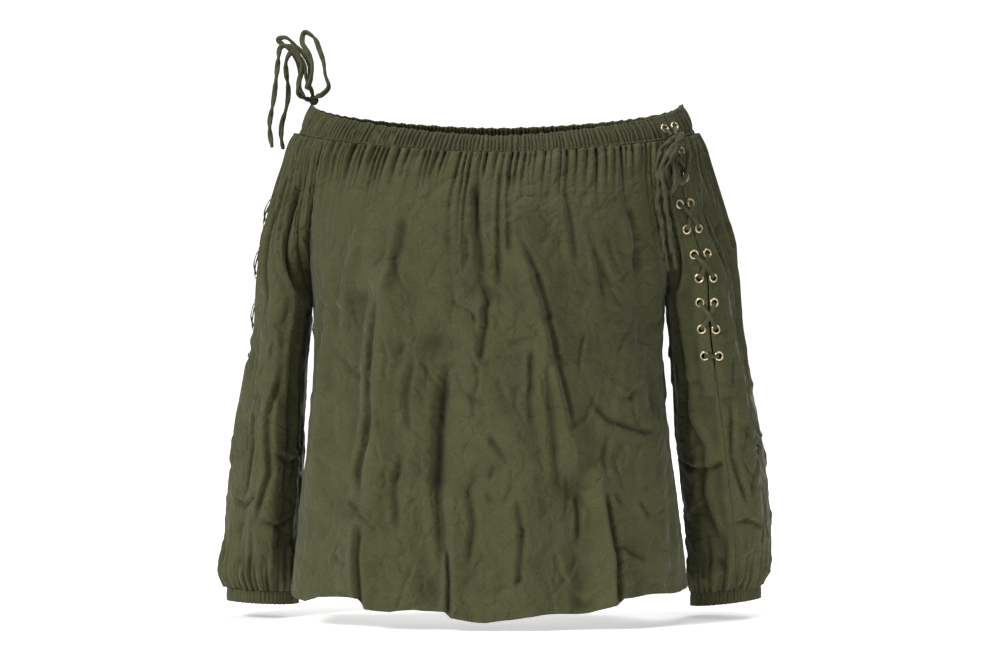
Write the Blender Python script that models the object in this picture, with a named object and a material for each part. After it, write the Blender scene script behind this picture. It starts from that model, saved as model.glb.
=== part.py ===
# Off-shoulder blouse with a gathered neck band, long full sleeves and laced sleeve tops, worn form.
# Sizes are in millimetres here and turned to metres where a mesh is made.
# Origin: middle of the neckline. +Z is up, the front faces -Y, left is -X.

import math
import random

import bpy
import bmesh
from mathutils import Vector
from mathutils.bvhtree import BVHTree

for old_object in list(bpy.data.objects):
    bpy.data.objects.remove(old_object)

MM = 0.001

# Cloth
CLOTH_WALL = 1.2          # wall of body and sleeves
BAND_WALL = 1.8           # cloth doubled over an elastic
SEAM_GAP = 0.3            # between pieces at a seam
BAND_GAP = 0.4            # the same under a band, where chords of two spacings face each other
FORM_POWER = 0.9          # 1 is an ellipse, less is squarer
BODY_MIDDLE_Y = -10.0     # cloth normals point away from here
SLEEVE_MIDDLE = 0.6       # at the band, a sleeve's normals point away from this share of its ring's centre
OPEN_HALF_TURN = 100.0    # half the angle that a sleeve covers at the band; a full half turn at the underarm

# Neck band: edge heights at the front middle, the sides and the back middle
BAND_TOP = {"front": -13.0, "side": 28.0, "back": 9.0}
BAND_FOOT = {"front": -31.0, "side": -3.0, "back": -17.0}
BAND_RISE_POWER = 0.7
BAND_TOP_FORM = {"half_width": 203.0, "side_y": 0.0, "front_y": -94.0, "back_y": 95.0}

# Body
UNDERARM_DROP = 180.0
SLEEVE_SEAM_START = {"left_front": 58.0, "left_back": 48.0, "right_front": 48.0, "right_back": 58.0}
SLEEVE_SEAM_POWER = {"left_front": 1.2, "left_back": 2.0, "right_front": 2.0, "right_back": 1.2}
UNDERARM_CLEAR = 1.7      # sleeve cloth stands this far off the body cloth at the underarm

# Body sections by drop below the foot of the neck band
BODY_SECTION_COLUMNS = ("drop", "centre_x", "half_width", "side_y", "front_y", "back_y")
BODY_SECTIONS = (
    (0.0, 0.0, 216.0, 0.0, -110.0, 105.0),
    (30.0, -2.0, 214.0, 0.0, -125.0, 115.0),
    (70.0, -4.0, 208.0, 0.0, -137.0, 121.0),
    (120.0, -6.0, 202.0, 3.0, -140.0, 121.0),
    (180.0, -8.0, 193.0, 5.0, -135.0, 113.0),
    (225.0, -8.0, 190.0, -2.0, -131.0, 106.0),
    (271.0, -8.0, 190.0, -15.0, -130.0, 101.0),
    (337.0, -8.0, 196.0, -26.0, -133.0, 100.0),
    (402.0, -8.0, 204.0, -32.0, -138.0, 103.0),
    (450.0, -8.0, 210.0, -35.0, -142.0, 106.0),
    (497.0, -8.0, 215.0, -35.0, -146.0, 110.0),
)

# Sleeve rings from the underarm to the cuff; outer and inner are distances from the middle plane
SLEEVE_RING_COLUMNS = ("drop", "outer", "inner", "centre_y", "half_depth")
SLEEVE_RINGS = {
    "left": (
        (180.0, 265.0, 203.0, 5.0, 66.0),
        (225.0, 268.0, 208.0, 10.0, 66.0),
        (271.0, 276.0, 211.0, 15.0, 65.0),
        (337.0, 286.0, 214.0, 20.0, 62.0),
        (402.0, 293.0, 218.0, 24.0, 60.0),
        (450.0, 299.0, 221.0, 26.0, 56.0),
        (483.0, 303.0, 221.0, 27.0, 48.0),
        (503.0, 297.0, 222.5, 27.0, 35.0),
    ),
    "right": (
        (180.0, 263.0, 187.0, 5.0, 66.0),
        (225.0, 269.0, 192.0, 10.0, 66.0),
        (271.0, 280.0, 196.0, 15.0, 65.0),
        (337.0, 292.0, 200.0, 20.0, 62.0),
        (402.0, 299.0, 206.0, 24.0, 60.0),
        (450.0, 301.0, 212.0, 26.0, 56.0),
        (483.0, 298.0, 215.0, 27.0, 48.0),
        (503.0, 290.0, 217.0, 27.0, 35.0),
    ),
}
SLEEVE_LENGTH = 503.0     # drop of the sleeve's lower edge
SLEEVE_GIRTH = 330.0
CUFF_HEIGHT = 14.0
CUFF_SPREAD = 1.0         # cuff stands this far outside the sleeve's last ring
CUFF_TILT = {"left": 0.05, "right": 0.12}    # rise per unit outward
TILT_START_DROP = 400.0

# The laced outer seam, as a share of the way round the sleeve from its front seam
OUTER_SEAM_SHARE = {"left": 0.52, "right": 0.18}
# and where that seam lies on the sleeve rings: angle by drop, 0 outward, -90 at the front
OUTER_SEAM_COLUMNS = ("drop", "turn")
OUTER_SEAM_TURNS = {
    "left": ((0.0, 6.0), (200.0, 8.0), (503.0, 4.0)),
    "right": ((0.0, -58.0), (90.0, -70.0), (180.0, -85.0), (270.0, -90.0), (503.0, -84.0)),
}
SLIT_LENGTH = 258.0
SLIT_HALF_GAP = 0.8

# Gathers: two columns of points make one gather
GATHERS = {"front": 32, "back": 30, "sleeve": 24, "band_front": 48, "band_back": 52, "cuff": 24}
LEAST_COLUMNS = 6         # in a narrow sleeve half
BODY_GATHER_HEIGHT = 2.4
BAND_GATHER_HEIGHT = 1.6
CUFF_GATHER_HEIGHT = 1.2
SLEEVE_GATHER_HEIGHT = 2.0
GATHER_REACH = 80.0       # gathers die away over about this length
CUFF_GATHER_REACH = 45.0
EDGE_FADE = 10.0          # and within this of a seam edge
GATHER_LEAST = 0.75       # gathers differ in height: the least share of the full height
GATHER_SPREAD = 0.5       # and how much more a gather can have
BAND_GATHER_LEAST = 0.8
BAND_GATHER_SPREAD = 0.4
BAND_RIDGE = 0.5          # outward and inward share of a band gather
BAND_DIP = -0.3

# Eyelets: ten pairs a sleeve, the first on the neck band
EYELET_DROPS = tuple(-14.0 + 28.8 * pair for pair in range(10))
EYELET_FROM_SLIT = 7.8
EYELET_OUTER_RADIUS = 5.3
EYELET_HOLE_RADIUS = 3.4
EYELET_HEIGHT = 1.1
EYELET_OUTER_CHAMFER = 0.7
EYELET_INNER_CHAMFER = 0.4
EYELET_SIDES = 8
CLOTH_HOLE = 6.6          # square hole in the cloth, hidden under the ring
HOLE_REACH = 4.0          # the cut goes this far to either side of the cloth's middle
FLAT_ROOM = 13.0          # cloth lies flat this far from the slit
FLAT_BLEND = 11.0
FLAT_BELOW = 30.0         # and this far below its end
BAND_FLAT_BLEND = 6.0

# Laces: the crossed part is flat, the bow and its tails are round
LACE_WIDTH = 4.2
LACE_THICKNESS = 1.0
LACE_OVER_RING = 2.4      # middle of the lace over an eyelet's seat where it crosses the rim
LACE_IN_HOLE = -0.5       # and inside the ring
LACE_LOW_CROSSING = 3.2   # over the highest seat of the eyelets around it
LACE_HIGH_CROSSING = 5.3
LACE_INSIDE = -3.8        # under its eyelet's seat
LACE_RIM_STEP = 2.4
LACE_KNOT_GAP = -0.6      # the lace ends this far from the knot's form, whose facets lie inside it
LACE_END_ACROSS = 2.5     # and its ends are this far from the knot's middle line
LACE_KNOT_DIP = 0.5
CORD_RADIUS = 2.4
CORD_STEP = 14.0
CORD_PROBE = 4.0          # a hanging cord clears all that lies this near to its middle line
PROBE_COUNT = 8
FAR = 400.0               # well outside the blouse
KNOT = {
    "left": {"across": 0.0, "drop": -37.0, "height": 3.6, "radii": (5.6, 5.4, 5.2)},
    "right": {"across": -8.0, "drop": 4.0, "height": 8.8, "radii": (6.2, 5.2, 5.0)},
}

KNOT_GAP = 0.3
TIE_STUB = 6.0            # a cord runs straight off its knot for this length

# Where cords leave their knots: shares to the back, down and outward
TIES = {
    "loops_left": ((-0.78, -0.45, -0.45), (-0.50, -0.75, 0.45)),
    "tail_left_a": ((-0.62, 0.23, 0.72), None),
    "tail_left_b": ((0.43, 0.13, 0.89), None),
    "loops_right": ((0.88, 0.28, 0.42), (-0.30, 0.85, 0.43)),
    "tail_right_a": ((-0.95, 0.10, 0.30), None),
    "tail_right_b": ((0.25, -0.20, 0.95), None),
}

# The left bow stands up: x, y, z of points along the cord
LEFT_LOOPS = (
    (-196.0, -4.0, 37.5), (-191.0, -9.0, 38.5), (-184.0, -11.0, 43.0), (-188.0, -10.0, 58.0),
    (-190.0, -9.0, 73.0), (-195.0, -8.0, 88.0), (-200.0, -6.0, 100.0), (-207.0, -5.0, 107.0),
    (-214.0, -6.0, 105.0), (-214.0, -8.0, 96.0), (-208.0, -9.0, 86.0), (-203.0, -10.0, 75.0),
    (-203.0, -10.0, 62.0), (-205.0, -9.5, 52.0), (-208.5, -5.0, 45.5), (-208.5, 2.0, 50.0),
    (-206.0, 5.0, 63.0), (-207.0, 5.0, 76.0), (-215.0, 4.0, 86.0), (-224.0, 3.0, 95.0),
    (-234.0, 3.0, 103.0), (-241.0, 5.0, 103.0), (-240.0, 9.0, 97.0), (-231.0, 11.0, 91.0),
    (-221.0, 11.0, 84.0), (-213.0, 11.0, 73.0), (-211.0, 11.0, 60.0), (-208.5, 10.5, 52.0),
)
LEFT_TAIL_A = (
    (-216.5, 2.0, 37.0), (-220.0, -3.0, 46.0), (-216.0, -3.5, 58.0), (-214.0, -3.5, 70.0), (-218.0, -3.5, 81.0),
    (-225.0, -4.0, 90.0), (-232.0, -4.0, 95.0), (-238.0, -4.0, 90.0), (-240.0, -4.0, 79.0),
    (-241.5, -4.0, 66.0), (-243.0, -5.0, 52.0), (-244.5, -5.0, 38.0), (-247.0, -4.0, 24.0),
    (-249.5, -4.0, 10.0), (-249.5, -4.0, -3.0), (-247.0, -4.0, -19.5),
)
LEFT_TAIL_B = (
    (-217.5, 20.0, 42.0), (-219.0, 17.0, 52.0), (-218.0, 17.0, 66.0), (-221.0, 17.0, 79.0),
    (-227.0, 16.0, 87.0), (-232.0, 13.0, 83.0), (-232.5, 10.0, 70.0), (-232.0, 8.0, 57.0),
    (-229.5, 7.0, 44.0), (-231.0, 6.0, 31.0), (-234.0, 5.0, 17.0), (-237.5, 4.0, 4.0),
    (-237.5, 4.0, -9.0), (-235.5, 4.0, -21.0),
)

# The right bow hangs on the cloth: x, z, and how far its middle lies in front of what is behind it
RIGHT_LOOPS = (
    (206.0, -27.0, 9.0), (206.0, -39.0, 6.0), (204.0, -51.0, 3.8), (201.5, -63.0, 3.4), (195.0, -60.0, 4.5),
    (193.0, -47.0, 5.0), (190.5, -36.0, 5.5), (185.0, -40.0, 5.5), (182.0, -54.0, 4.0), (184.0, -67.0, 3.6),
    (189.0, -73.0, 7.0), (191.5, -62.0, 11.0), (189.5, -46.0, 11.5), (188.0, -31.0, 9.5),
)
RIGHT_TAIL_A = (
    (180.0, -20.0, 6.0), (174.5, -32.0, 3.6), (171.5, -48.0, 3.2), (173.5, -66.0, 3.2), (171.5, -84.0, 3.2),
    (176.0, -103.0, 3.2), (178.0, -124.0, 3.2), (182.0, -142.0, 3.2), (185.5, -156.0, 3.2),
)
RIGHT_TAIL_B = (
    (189.0, -24.0, 19.0), (180.5, -34.0, 16.0), (176.0, -47.0, 11.0), (176.0, -60.0, 8.5), (180.0, -72.0, 8.5), (180.5, -88.0, 4.0),
    (184.5, -104.0, 3.4), (186.0, -122.0, 3.4), (190.5, -140.0, 3.4), (193.5, -153.0, 3.4),
)

# Rows of points down the cloth; below the fine rows, two columns become one
BODY_ROWS = (0.0, 12.0, 30.0, 56.0, 88.0, 120.0, 150.0, 180.0, 232.0, 285.0, 340.0, 395.0, 447.0, 497.0)
SLEEVE_ROWS = (0.0, 12.0, 30.0, 56.0, 88.0, 120.0, 150.0, 180.0, 218.0, 262.0, 325.0, 390.0, 448.0, 482.0, 503.0)
FINE_TOP_ROWS = 3
FINE_FOOT_ROWS = 2

# Largest folds, from one end to the other, in the front or back view; depth below zero is a valley
FOLD_COLUMNS = ("from_x", "from_z", "to_x", "to_z", "half_width", "depth")
FRONT_FOLDS = (
    (-116.0, -170.0, -150.0, -500.0, 20.0, 13.0),
    (-62.0, -240.0, -68.0, -505.0, 18.0, -11.0),
    (-52.0, -400.0, -50.0, -528.0, 14.0, 10.0),
    (-178.0, -150.0, -196.0, -400.0, 16.0, 5.0),
    (-142.0, -190.0, -150.0, -420.0, 14.0, -8.0),
    (-5.0, -40.0, -2.0, -190.0, 10.0, -6.0),
    (-30.0, -50.0, -20.0, -180.0, 10.0, -6.0),
    (14.0, -80.0, 78.0, -350.0, 18.0, 9.0),
    (108.0, -380.0, 122.0, -515.0, 16.0, 11.0),
    (84.0, -390.0, 92.0, -510.0, 14.0, -8.0),
    (150.0, -150.0, 172.0, -300.0, 14.0, -6.0),
    (20.0, -330.0, 30.0, -520.0, 20.0, 8.0),
)
BACK_FOLDS = (
    (-130.0, -120.0, -150.0, -500.0, 20.0, 11.0),
    (-100.0, -200.0, -105.0, -500.0, 16.0, -10.0),
    (-20.0, -60.0, -30.0, -480.0, 18.0, -10.0),
    (30.0, -180.0, 50.0, -505.0, 22.0, 11.0),
    (95.0, -150.0, 105.0, -500.0, 16.0, -10.0),
    (140.0, -200.0, 160.0, -500.0, 18.0, 9.0),
)
FOLD_FADE = 60.0          # folds start this far below the neck band
SLEEVE_FOLD_END = 30.0    # and end this far above the sleeve's edge

# Sleeve folds: share of the way round, at the upper and the lower end
SLEEVE_FOLD_COLUMNS = ("from_share", "from_drop", "to_share", "to_drop", "half_width", "depth")
SLEEVE_FOLDS = (
    (0.12, 60.0, 0.16, 440.0, 13.0, -5.0),
    (0.40, 150.0, 0.33, 470.0, 13.0, -5.0),
    (0.44, 260.0, 0.52, 480.0, 12.0, 4.5),
    (0.66, 80.0, 0.62, 430.0, 13.0, -5.0),
    (0.82, 120.0, 0.86, 460.0, 13.0, -4.5),
    (0.24, 300.0, 0.20, 480.0, 12.0, 4.5),
)


def look_up(rows, columns, name, at):
    """Value of a named column where the first column is at, on a smooth curve through the rows."""
    column = columns.index(name)
    if at <= rows[0][0]:
        return rows[0][column]
    if at >= rows[-1][0]:
        return rows[-1][column]
    low = max(i for i in range(len(rows) - 1) if rows[i][0] <= at)

    def slope(i):
        if i == 0 or i == len(rows) - 1:
            near = 1 if i == 0 else i
            return (rows[near][column] - rows[near - 1][column]) / (rows[near][0] - rows[near - 1][0])
        return (rows[i + 1][column] - rows[i - 1][column]) / (rows[i + 1][0] - rows[i - 1][0])

    step = rows[low + 1][0] - rows[low][0]
    s = (at - rows[low][0]) / step
    start_value, end_value = rows[low][column], rows[low + 1][column]
    return ((2 * s ** 3 - 3 * s ** 2 + 1) * start_value + (s ** 3 - 2 * s ** 2 + s) * step * slope(low)
            + (3 * s ** 2 - 2 * s ** 3) * end_value + (s ** 3 - s ** 2) * step * slope(low + 1))


def edge_height(edge, turn):
    """Height of a band edge at an angle from the front middle, in degrees."""
    facing = math.cos(math.radians(turn))
    middle = edge["front"] if facing > 0 else edge["back"]
    return middle + (edge["side"] - middle) * (1 - abs(facing)) ** BAND_RISE_POWER


def section_point(turn, centre_x, half_width, side_y, front_y, back_y, height):
    """Point on an oblong section; turn is the angle from the front middle towards +X."""
    across = math.sin(math.radians(turn))
    facing = math.cos(math.radians(turn))
    reach = front_y - side_y if facing > 0 else back_y - side_y
    x = centre_x + half_width * math.copysign(abs(across) ** FORM_POWER, across)
    y = side_y + reach * abs(facing) ** FORM_POWER
    return Vector((x, y, height))


def body_point(turn, drop):
    values = [look_up(BODY_SECTIONS, BODY_SECTION_COLUMNS, name, drop) for name in BODY_SECTION_COLUMNS[1:]]
    return section_point(turn, *values, edge_height(BAND_FOOT, turn) - drop)


def seam_turn(seam, drop):
    """Angle of a sleeve seam from the front or back middle; 90 is the side."""
    start = SLEEVE_SEAM_START[seam]
    share = min(1.0, drop / UNDERARM_DROP)
    return start + (90.0 - start) * share ** SLEEVE_SEAM_POWER[seam]


def seam_point(side, face, drop):
    turn = seam_turn(side + "_" + face, drop)
    if face == "back":
        turn = 180.0 - turn
    return body_point(turn if side == "right" else -turn, drop)


def ring_point(side, turn, drop):
    """Point on a sleeve ring; turn is 0 outward, -90 at the front, 180 towards the body."""
    rows = SLEEVE_RINGS[side]
    drop_in_table = max(drop, UNDERARM_DROP)
    outer, inner, centre_y, half_depth = (
        look_up(rows, SLEEVE_RING_COLUMNS, name, drop_in_table) for name in SLEEVE_RING_COLUMNS[1:])
    centre_x = (outer + inner) / 2
    reach = (outer - inner) / 2
    x = centre_x + reach * math.cos(math.radians(turn))
    y = centre_y + half_depth * math.sin(math.radians(turn))
    tilt_share = min(1.0, max(0.0, (drop - TILT_START_DROP) / (SLEEVE_LENGTH - TILT_START_DROP)))
    z = BAND_FOOT["side"] - drop + CUFF_TILT[side] * tilt_share * (x - centre_x)
    sign = 1.0 if side == "right" else -1.0
    return Vector((sign * x, y, z))


def ring_turn(side, share, drop, open_half):
    """Angle on a sleeve ring for a share of the way round; the outer seam keeps its own angle."""
    seam_share = OUTER_SEAM_SHARE[side]
    seam_at = look_up(OUTER_SEAM_TURNS[side], OUTER_SEAM_COLUMNS, "turn", drop)
    if share < seam_share:
        return -open_half + (seam_at + open_half) * share / seam_share
    return seam_at + (open_half - seam_at) * (share - seam_share) / (1 - seam_share)


def sleeve_point(side, share, drop):
    """Point on the sleeve; share runs from the front seam (0) over the outside to the back seam (1)."""
    if drop >= UNDERARM_DROP:
        return ring_point(side, ring_turn(side, share, drop, 180.0), drop)
    down = drop / UNDERARM_DROP
    front_turn = seam_turn(side + "_front", 0.0)
    back_turn = 180.0 - seam_turn(side + "_back", 0.0)
    neck_turn = front_turn + (back_turn - front_turn) * share
    neck = body_point(neck_turn if side == "right" else -neck_turn, 0.0)
    open_half = OPEN_HALF_TURN + (180.0 - OPEN_HALF_TURN) * down ** 3
    ring = ring_point(side, ring_turn(side, share, drop, open_half), UNDERARM_DROP)
    spread = 1 - (1 - down) ** 2
    point = neck.lerp(ring, spread)
    point.z = neck.z + (ring.z - neck.z) * down
    for seam_share, face in ((0.0, "front"), (1.0, "back")):
        away = abs(share - seam_share)
        if away < 0.5:
            seam_neck = front_turn if face == "front" else back_turn
            seam_start = body_point(seam_neck if side == "right" else -seam_neck, 0.0)
            seam_ring = ring_point(side, -open_half if face == "front" else open_half, UNDERARM_DROP)
            free = seam_start.lerp(seam_ring, spread)
            free.z = seam_start.z + (seam_ring.z - seam_start.z) * down
            point += (seam_point(side, face, drop) - free) * math.cos(math.pi * away) ** 2
    outward = 1.0 if side == "right" else -1.0
    point.x += outward * UNDERARM_CLEAR * down ** 6 * (1 - math.sin(math.pi * share))
    return point


def resample(points, trim_start, trim_end, count):
    """Even points along a line of points, after cutting a length off each end."""
    lengths = [0.0]
    for a, b in zip(points, points[1:]):
        lengths.append(lengths[-1] + (b - a).length)
    first, last = trim_start, lengths[-1] - trim_end
    result = []
    k = 0
    for i in range(count + 1):
        at = first + (last - first) * i / count
        while k < len(points) - 2 and lengths[k + 1] < at:
            k += 1
        share = (at - lengths[k]) / (lengths[k + 1] - lengths[k])
        result.append(points[k].lerp(points[k + 1], share))
    return result


DENSE = 120
PROBE = 6.0      # length over which a panel's direction at a seam is read


def dense_line(point_at, start, end):
    return [point_at(start + (end - start) * i / DENSE) for i in range(DENSE + 1)]


def body_line(face, drop):
    """The front or back body at one drop, from left to right."""
    left, right = seam_turn("left_" + face, drop), seam_turn("right_" + face, drop)
    if face == "front":
        return dense_line(lambda turn: body_point(turn, drop), -left, right)
    return dense_line(lambda turn: body_point(turn, drop), -180.0 + left, -180.0 - right)


def sleeve_line(side, half, drop):
    """A sleeve half at one drop, from the body seam to the outer seam."""
    outer_seam = OUTER_SEAM_SHARE[side]
    start = 0.0 if half == "front" else 1.0
    return dense_line(lambda share: sleeve_point(side, share, drop), start, outer_seam)


def direction_in(line, from_start):
    ends = line if from_start else line[::-1]
    length = 0.0
    for a, b in zip(ends, ends[1:]):
        length += (b - a).length
        if length > PROBE:
            return (b - ends[0]).normalized()
    return (ends[-1] - ends[0]).normalized()


def seam_trim(line_a, line_b, wall):
    """Length to cut off each of two cloths that meet at a seam, so that their walls stay clear."""
    angle = direction_in(line_a, True).angle(direction_in(line_b, True))
    half = max(math.radians(10.0), angle / 2)
    return wall / 2 / math.tan(half) + SEAM_GAP / 2 / math.sin(half)


def sleeve_seam_trim(side, face, drop):
    """What a sleeve's body seam takes off the body and the sleeve at one drop."""
    if drop >= UNDERARM_DROP:
        return SEAM_GAP / 2
    body = body_line(face, drop)
    if side == "right":
        body = body[::-1]
    return seam_trim(body, sleeve_line(side, face, drop), CLOTH_WALL)


def line_distance(x, z, from_x, from_z, to_x, to_z):
    """Distance of a point from a fold's line."""
    along_x, along_z = to_x - from_x, to_z - from_z
    length = math.hypot(along_x, along_z)
    along = ((x - from_x) * along_x + (z - from_z) * along_z) / length ** 2
    held = min(1.0, max(0.0, along))
    return math.hypot(x - from_x - held * along_x, z - from_z - held * along_z)


def body_fold(folds, point):
    total = 0.0
    for *ends, half_width, depth in folds:
        total += depth * math.exp(-(line_distance(point.x, point.z, *ends) / half_width) ** 2)
    return total


def sleeve_fold(side, share, drop, girth):
    """Fold height on a sleeve; the shares are turned to lengths with the girth."""
    mirrored = 1.0 - share if side == "right" else share
    total = 0.0
    for from_share, from_drop, to_share, to_drop, half_width, depth in SLEEVE_FOLDS:
        distance = line_distance(mirrored * girth, drop, from_share * girth, from_drop, to_share * girth, to_drop)
        total += depth * math.exp(-(distance / half_width) ** 2)
    return total


def row_normals(rows, outward_from):
    """A unit normal for each point, from its neighbours, pointing away from a middle point of its row."""
    normals = []
    for i, row in enumerate(rows):
        count = len(row) - 1
        row_list = []
        for j, point in enumerate(row):
            along = row[min(j + 1, count)] - row[max(j - 1, 0)]
            above, below = rows[max(i - 1, 0)], rows[min(i + 1, len(rows) - 1)]

            def at_share(line):
                place = j / count * (len(line) - 1)
                k = min(int(place), len(line) - 2)
                return line[k].lerp(line[k + 1], place - k)

            down = at_share(below) - at_share(above)
            normal = along.cross(down).normalized()
            if normal.dot(point - outward_from(i)) < 0:
                normal = -normal
            row_list.append(normal)
        normals.append(row_list)
    return normals


def level(normals, i):
    """Lay one row's normals flat, so that its edge can butt against a band."""
    normals[i] = [Vector((n.x, n.y, 0.0)).normalized() for n in normals[i]]


def strip_faces(upper, lower, base_upper, base_lower):
    """Faces between two rows of points; a row may have half the columns of the other."""
    faces = []
    if upper == lower:
        for j in range(upper):
            faces.append((base_upper + j, base_upper + j + 1, base_lower + j + 1, base_lower + j))
    elif upper == 2 * lower:
        for j in range(lower):
            u, l = base_upper + 2 * j, base_lower + j
            faces += [(u, u + 1, l), (u + 1, l + 1, l), (u + 1, u + 2, l + 1)]
    else:
        for j in range(upper):
            u, l = base_upper + j, base_lower + 2 * j
            faces += [(u, l + 1, l), (u, u + 1, l + 1), (u + 1, l + 2, l + 1)]
    return faces


def new_object(name, vertices, faces, material, smooth=True):
    mesh = bpy.data.meshes.new(name)
    work = bmesh.new()
    points = [work.verts.new(Vector(v) * MM) for v in vertices]
    for face in faces:
        work.faces.new([points[k] for k in face])
    bmesh.ops.recalc_face_normals(work, faces=work.faces)
    work.to_mesh(mesh)
    work.free()
    if smooth:
        mesh.shade_smooth()
        mesh.set_sharp_from_angle(angle=math.radians(50.0))
    mesh.materials.append(material)
    made = bpy.data.objects.new(name, mesh)
    bpy.context.scene.collection.objects.link(made)
    return made


def cloth_wall(name, rows, normals, heights, wall, material):
    """A closed wall: an outer and an inner sheet of points, joined along the rim."""
    outer, inner, starts, counts = [], [], [], []
    for row, row_normal, row_height in zip(rows, normals, heights):
        starts.append(len(outer))
        counts.append(len(row) - 1)
        for point, normal, height in zip(row, row_normal, row_height):
            outer.append(point + normal * (height + wall / 2))
            inner.append(point + normal * (height - wall / 2))
    total = len(outer)
    faces = []
    for i in range(len(rows) - 1):
        sheet = strip_faces(counts[i], counts[i + 1], starts[i], starts[i + 1])
        faces += sheet
        faces += [tuple(k + total for k in reversed(face)) for face in sheet]
        for side_at in (0, 1):
            a = starts[i] + side_at * counts[i]
            b = starts[i + 1] + side_at * counts[i + 1]
            faces.append((a, b, b + total, a + total))
    for i in (0, len(rows) - 1):
        for j in range(counts[i]):
            a = starts[i] + j
            faces.append((a, a + 1, a + 1 + total, a + total))
    return new_object(name, outer + inner, faces, material)


def finish_material(name, colour, roughness, metallic=0.0):
    made = bpy.data.materials.new(name)
    made.use_nodes = True
    shader = made.node_tree.nodes["Principled BSDF"]
    shader.inputs["Base Color"].default_value = (*colour, 1.0)
    shader.inputs["Roughness"].default_value = roughness
    shader.inputs["Metallic"].default_value = metallic
    return made


def edge_fade(j, count, spacing):
    """Gathers fade out near a seam edge."""
    return min(1.0, min(j, count - j) * spacing / EDGE_FADE)


def make_body(face, folds, cloth, chance):
    rows, heights = [], []
    for i, drop in enumerate(BODY_ROWS):
        columns = GATHERS[face] * (2 if i < FINE_TOP_ROWS else 1)
        row = resample(body_line(face, drop), sleeve_seam_trim("left", face, drop),
                       sleeve_seam_trim("right", face, drop), columns)
        rows.append(row)
        spacing = (row[1] - row[0]).length
        gather = BODY_GATHER_HEIGHT * math.exp(-(drop / GATHER_REACH) ** 2)
        row_height = []
        for j, point in enumerate(row):
            fade = edge_fade(j, columns, spacing)
            zigzag = gather * (1 if j % 2 else -1) * (GATHER_LEAST + GATHER_SPREAD * chance.random())
            fold = body_fold(folds, point) * min(1.0, drop / FOLD_FADE)
            row_height.append(fade * (zigzag + fold))
        heights.append(row_height)
    normals = row_normals(rows, lambda i: Vector((0.0, BODY_MIDDLE_Y, rows[i][len(rows[i]) // 2].z)))
    level(normals, 0)
    for point in rows[0]:
        point.z -= BAND_GAP
    return cloth_wall("body_" + face, rows, normals, heights, CLOTH_WALL, cloth)


def sleeve_columns(side, half):
    share = OUTER_SEAM_SHARE[side] if half == "front" else 1 - OUTER_SEAM_SHARE[side]
    return max(LEAST_COLUMNS, round(GATHERS["sleeve"] * share))


def make_sleeve_half(side, half, cloth, chance):
    rows, heights = [], []
    gathers = sleeve_columns(side, half)
    outer_share = OUTER_SEAM_SHARE[side]
    for i, drop in enumerate(SLEEVE_ROWS):
        fine = i < FINE_TOP_ROWS or i > len(SLEEVE_ROWS) - 1 - FINE_FOOT_ROWS
        columns = gathers * (2 if fine else 1)
        line = sleeve_line(side, half, drop)
        slit_trim = SLIT_HALF_GAP if drop < SLIT_LENGTH else SEAM_GAP / 2
        row = resample(line, sleeve_seam_trim(side, half, drop), slit_trim, columns)
        rows.append(row)
        spacing = (row[1] - row[0]).length
        gather = SLEEVE_GATHER_HEIGHT * (math.exp(-(drop / GATHER_REACH) ** 2)
                                         + math.exp(-((SLEEVE_LENGTH - drop) / CUFF_GATHER_REACH) ** 2))
        row_height = []
        for j, point in enumerate(row):
            seam_fade = min(1.0, j * spacing / EDGE_FADE)
            from_slit = (columns - j) * spacing
            if drop < SLIT_LENGTH + FLAT_BELOW:
                slit_fade = min(1.0, max(0.0, from_slit - FLAT_ROOM) / FLAT_BLEND)
            else:
                slit_fade = min(1.0, from_slit / EDGE_FADE)
            fade = seam_fade * slit_fade
            start_share = 0.0 if half == "front" else 1.0
            share = start_share + (outer_share - start_share) * j / columns
            zigzag = gather * (1 if j % 2 else -1) * (GATHER_LEAST + GATHER_SPREAD * chance.random())
            ends = min(1.0, drop / FOLD_FADE, (SLEEVE_LENGTH - drop) / SLEEVE_FOLD_END)
            fold = sleeve_fold(side, share, drop, SLEEVE_GIRTH) * ends
            row_height.append(fade * (zigzag + fold))
        heights.append(row_height)
    sign = 1.0 if side == "right" else -1.0

    def middle(i):
        ring = [ring_point(side, turn, SLEEVE_ROWS[i]) for turn in (0.0, 180.0)]
        centre = (ring[0] + ring[1]) / 2
        down = min(1.0, SLEEVE_ROWS[i] / UNDERARM_DROP)
        share = SLEEVE_MIDDLE + (1.0 - SLEEVE_MIDDLE) * down
        return Vector((centre.x * share, centre.y, rows[i][len(rows[i]) // 2].z))

    normals = row_normals(rows, middle)
    level(normals, 0)
    level(normals, len(rows) - 1)
    for point in rows[0]:
        point.z -= BAND_GAP
    return cloth_wall("sleeve_" + side + "_" + half, rows, normals, heights, CLOTH_WALL, cloth)


def band_point(turn, down):
    """Point on the neck band; down is 0 at its top edge and 1 at its foot."""
    form = BAND_TOP_FORM
    top = section_point(turn, 0.0, form["half_width"], form["side_y"], form["front_y"], form["back_y"],
                        edge_height(BAND_TOP, turn))
    return top.lerp(body_point(turn, 0.0), down)


def slit_turn(side):
    """Angle of the laced slit at the neck band."""
    front_turn = seam_turn(side + "_front", 0.0)
    back_turn = 180.0 - seam_turn(side + "_back", 0.0)
    turn = front_turn + (back_turn - front_turn) * OUTER_SEAM_SHARE[side]
    return turn if side == "right" else -turn


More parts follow.
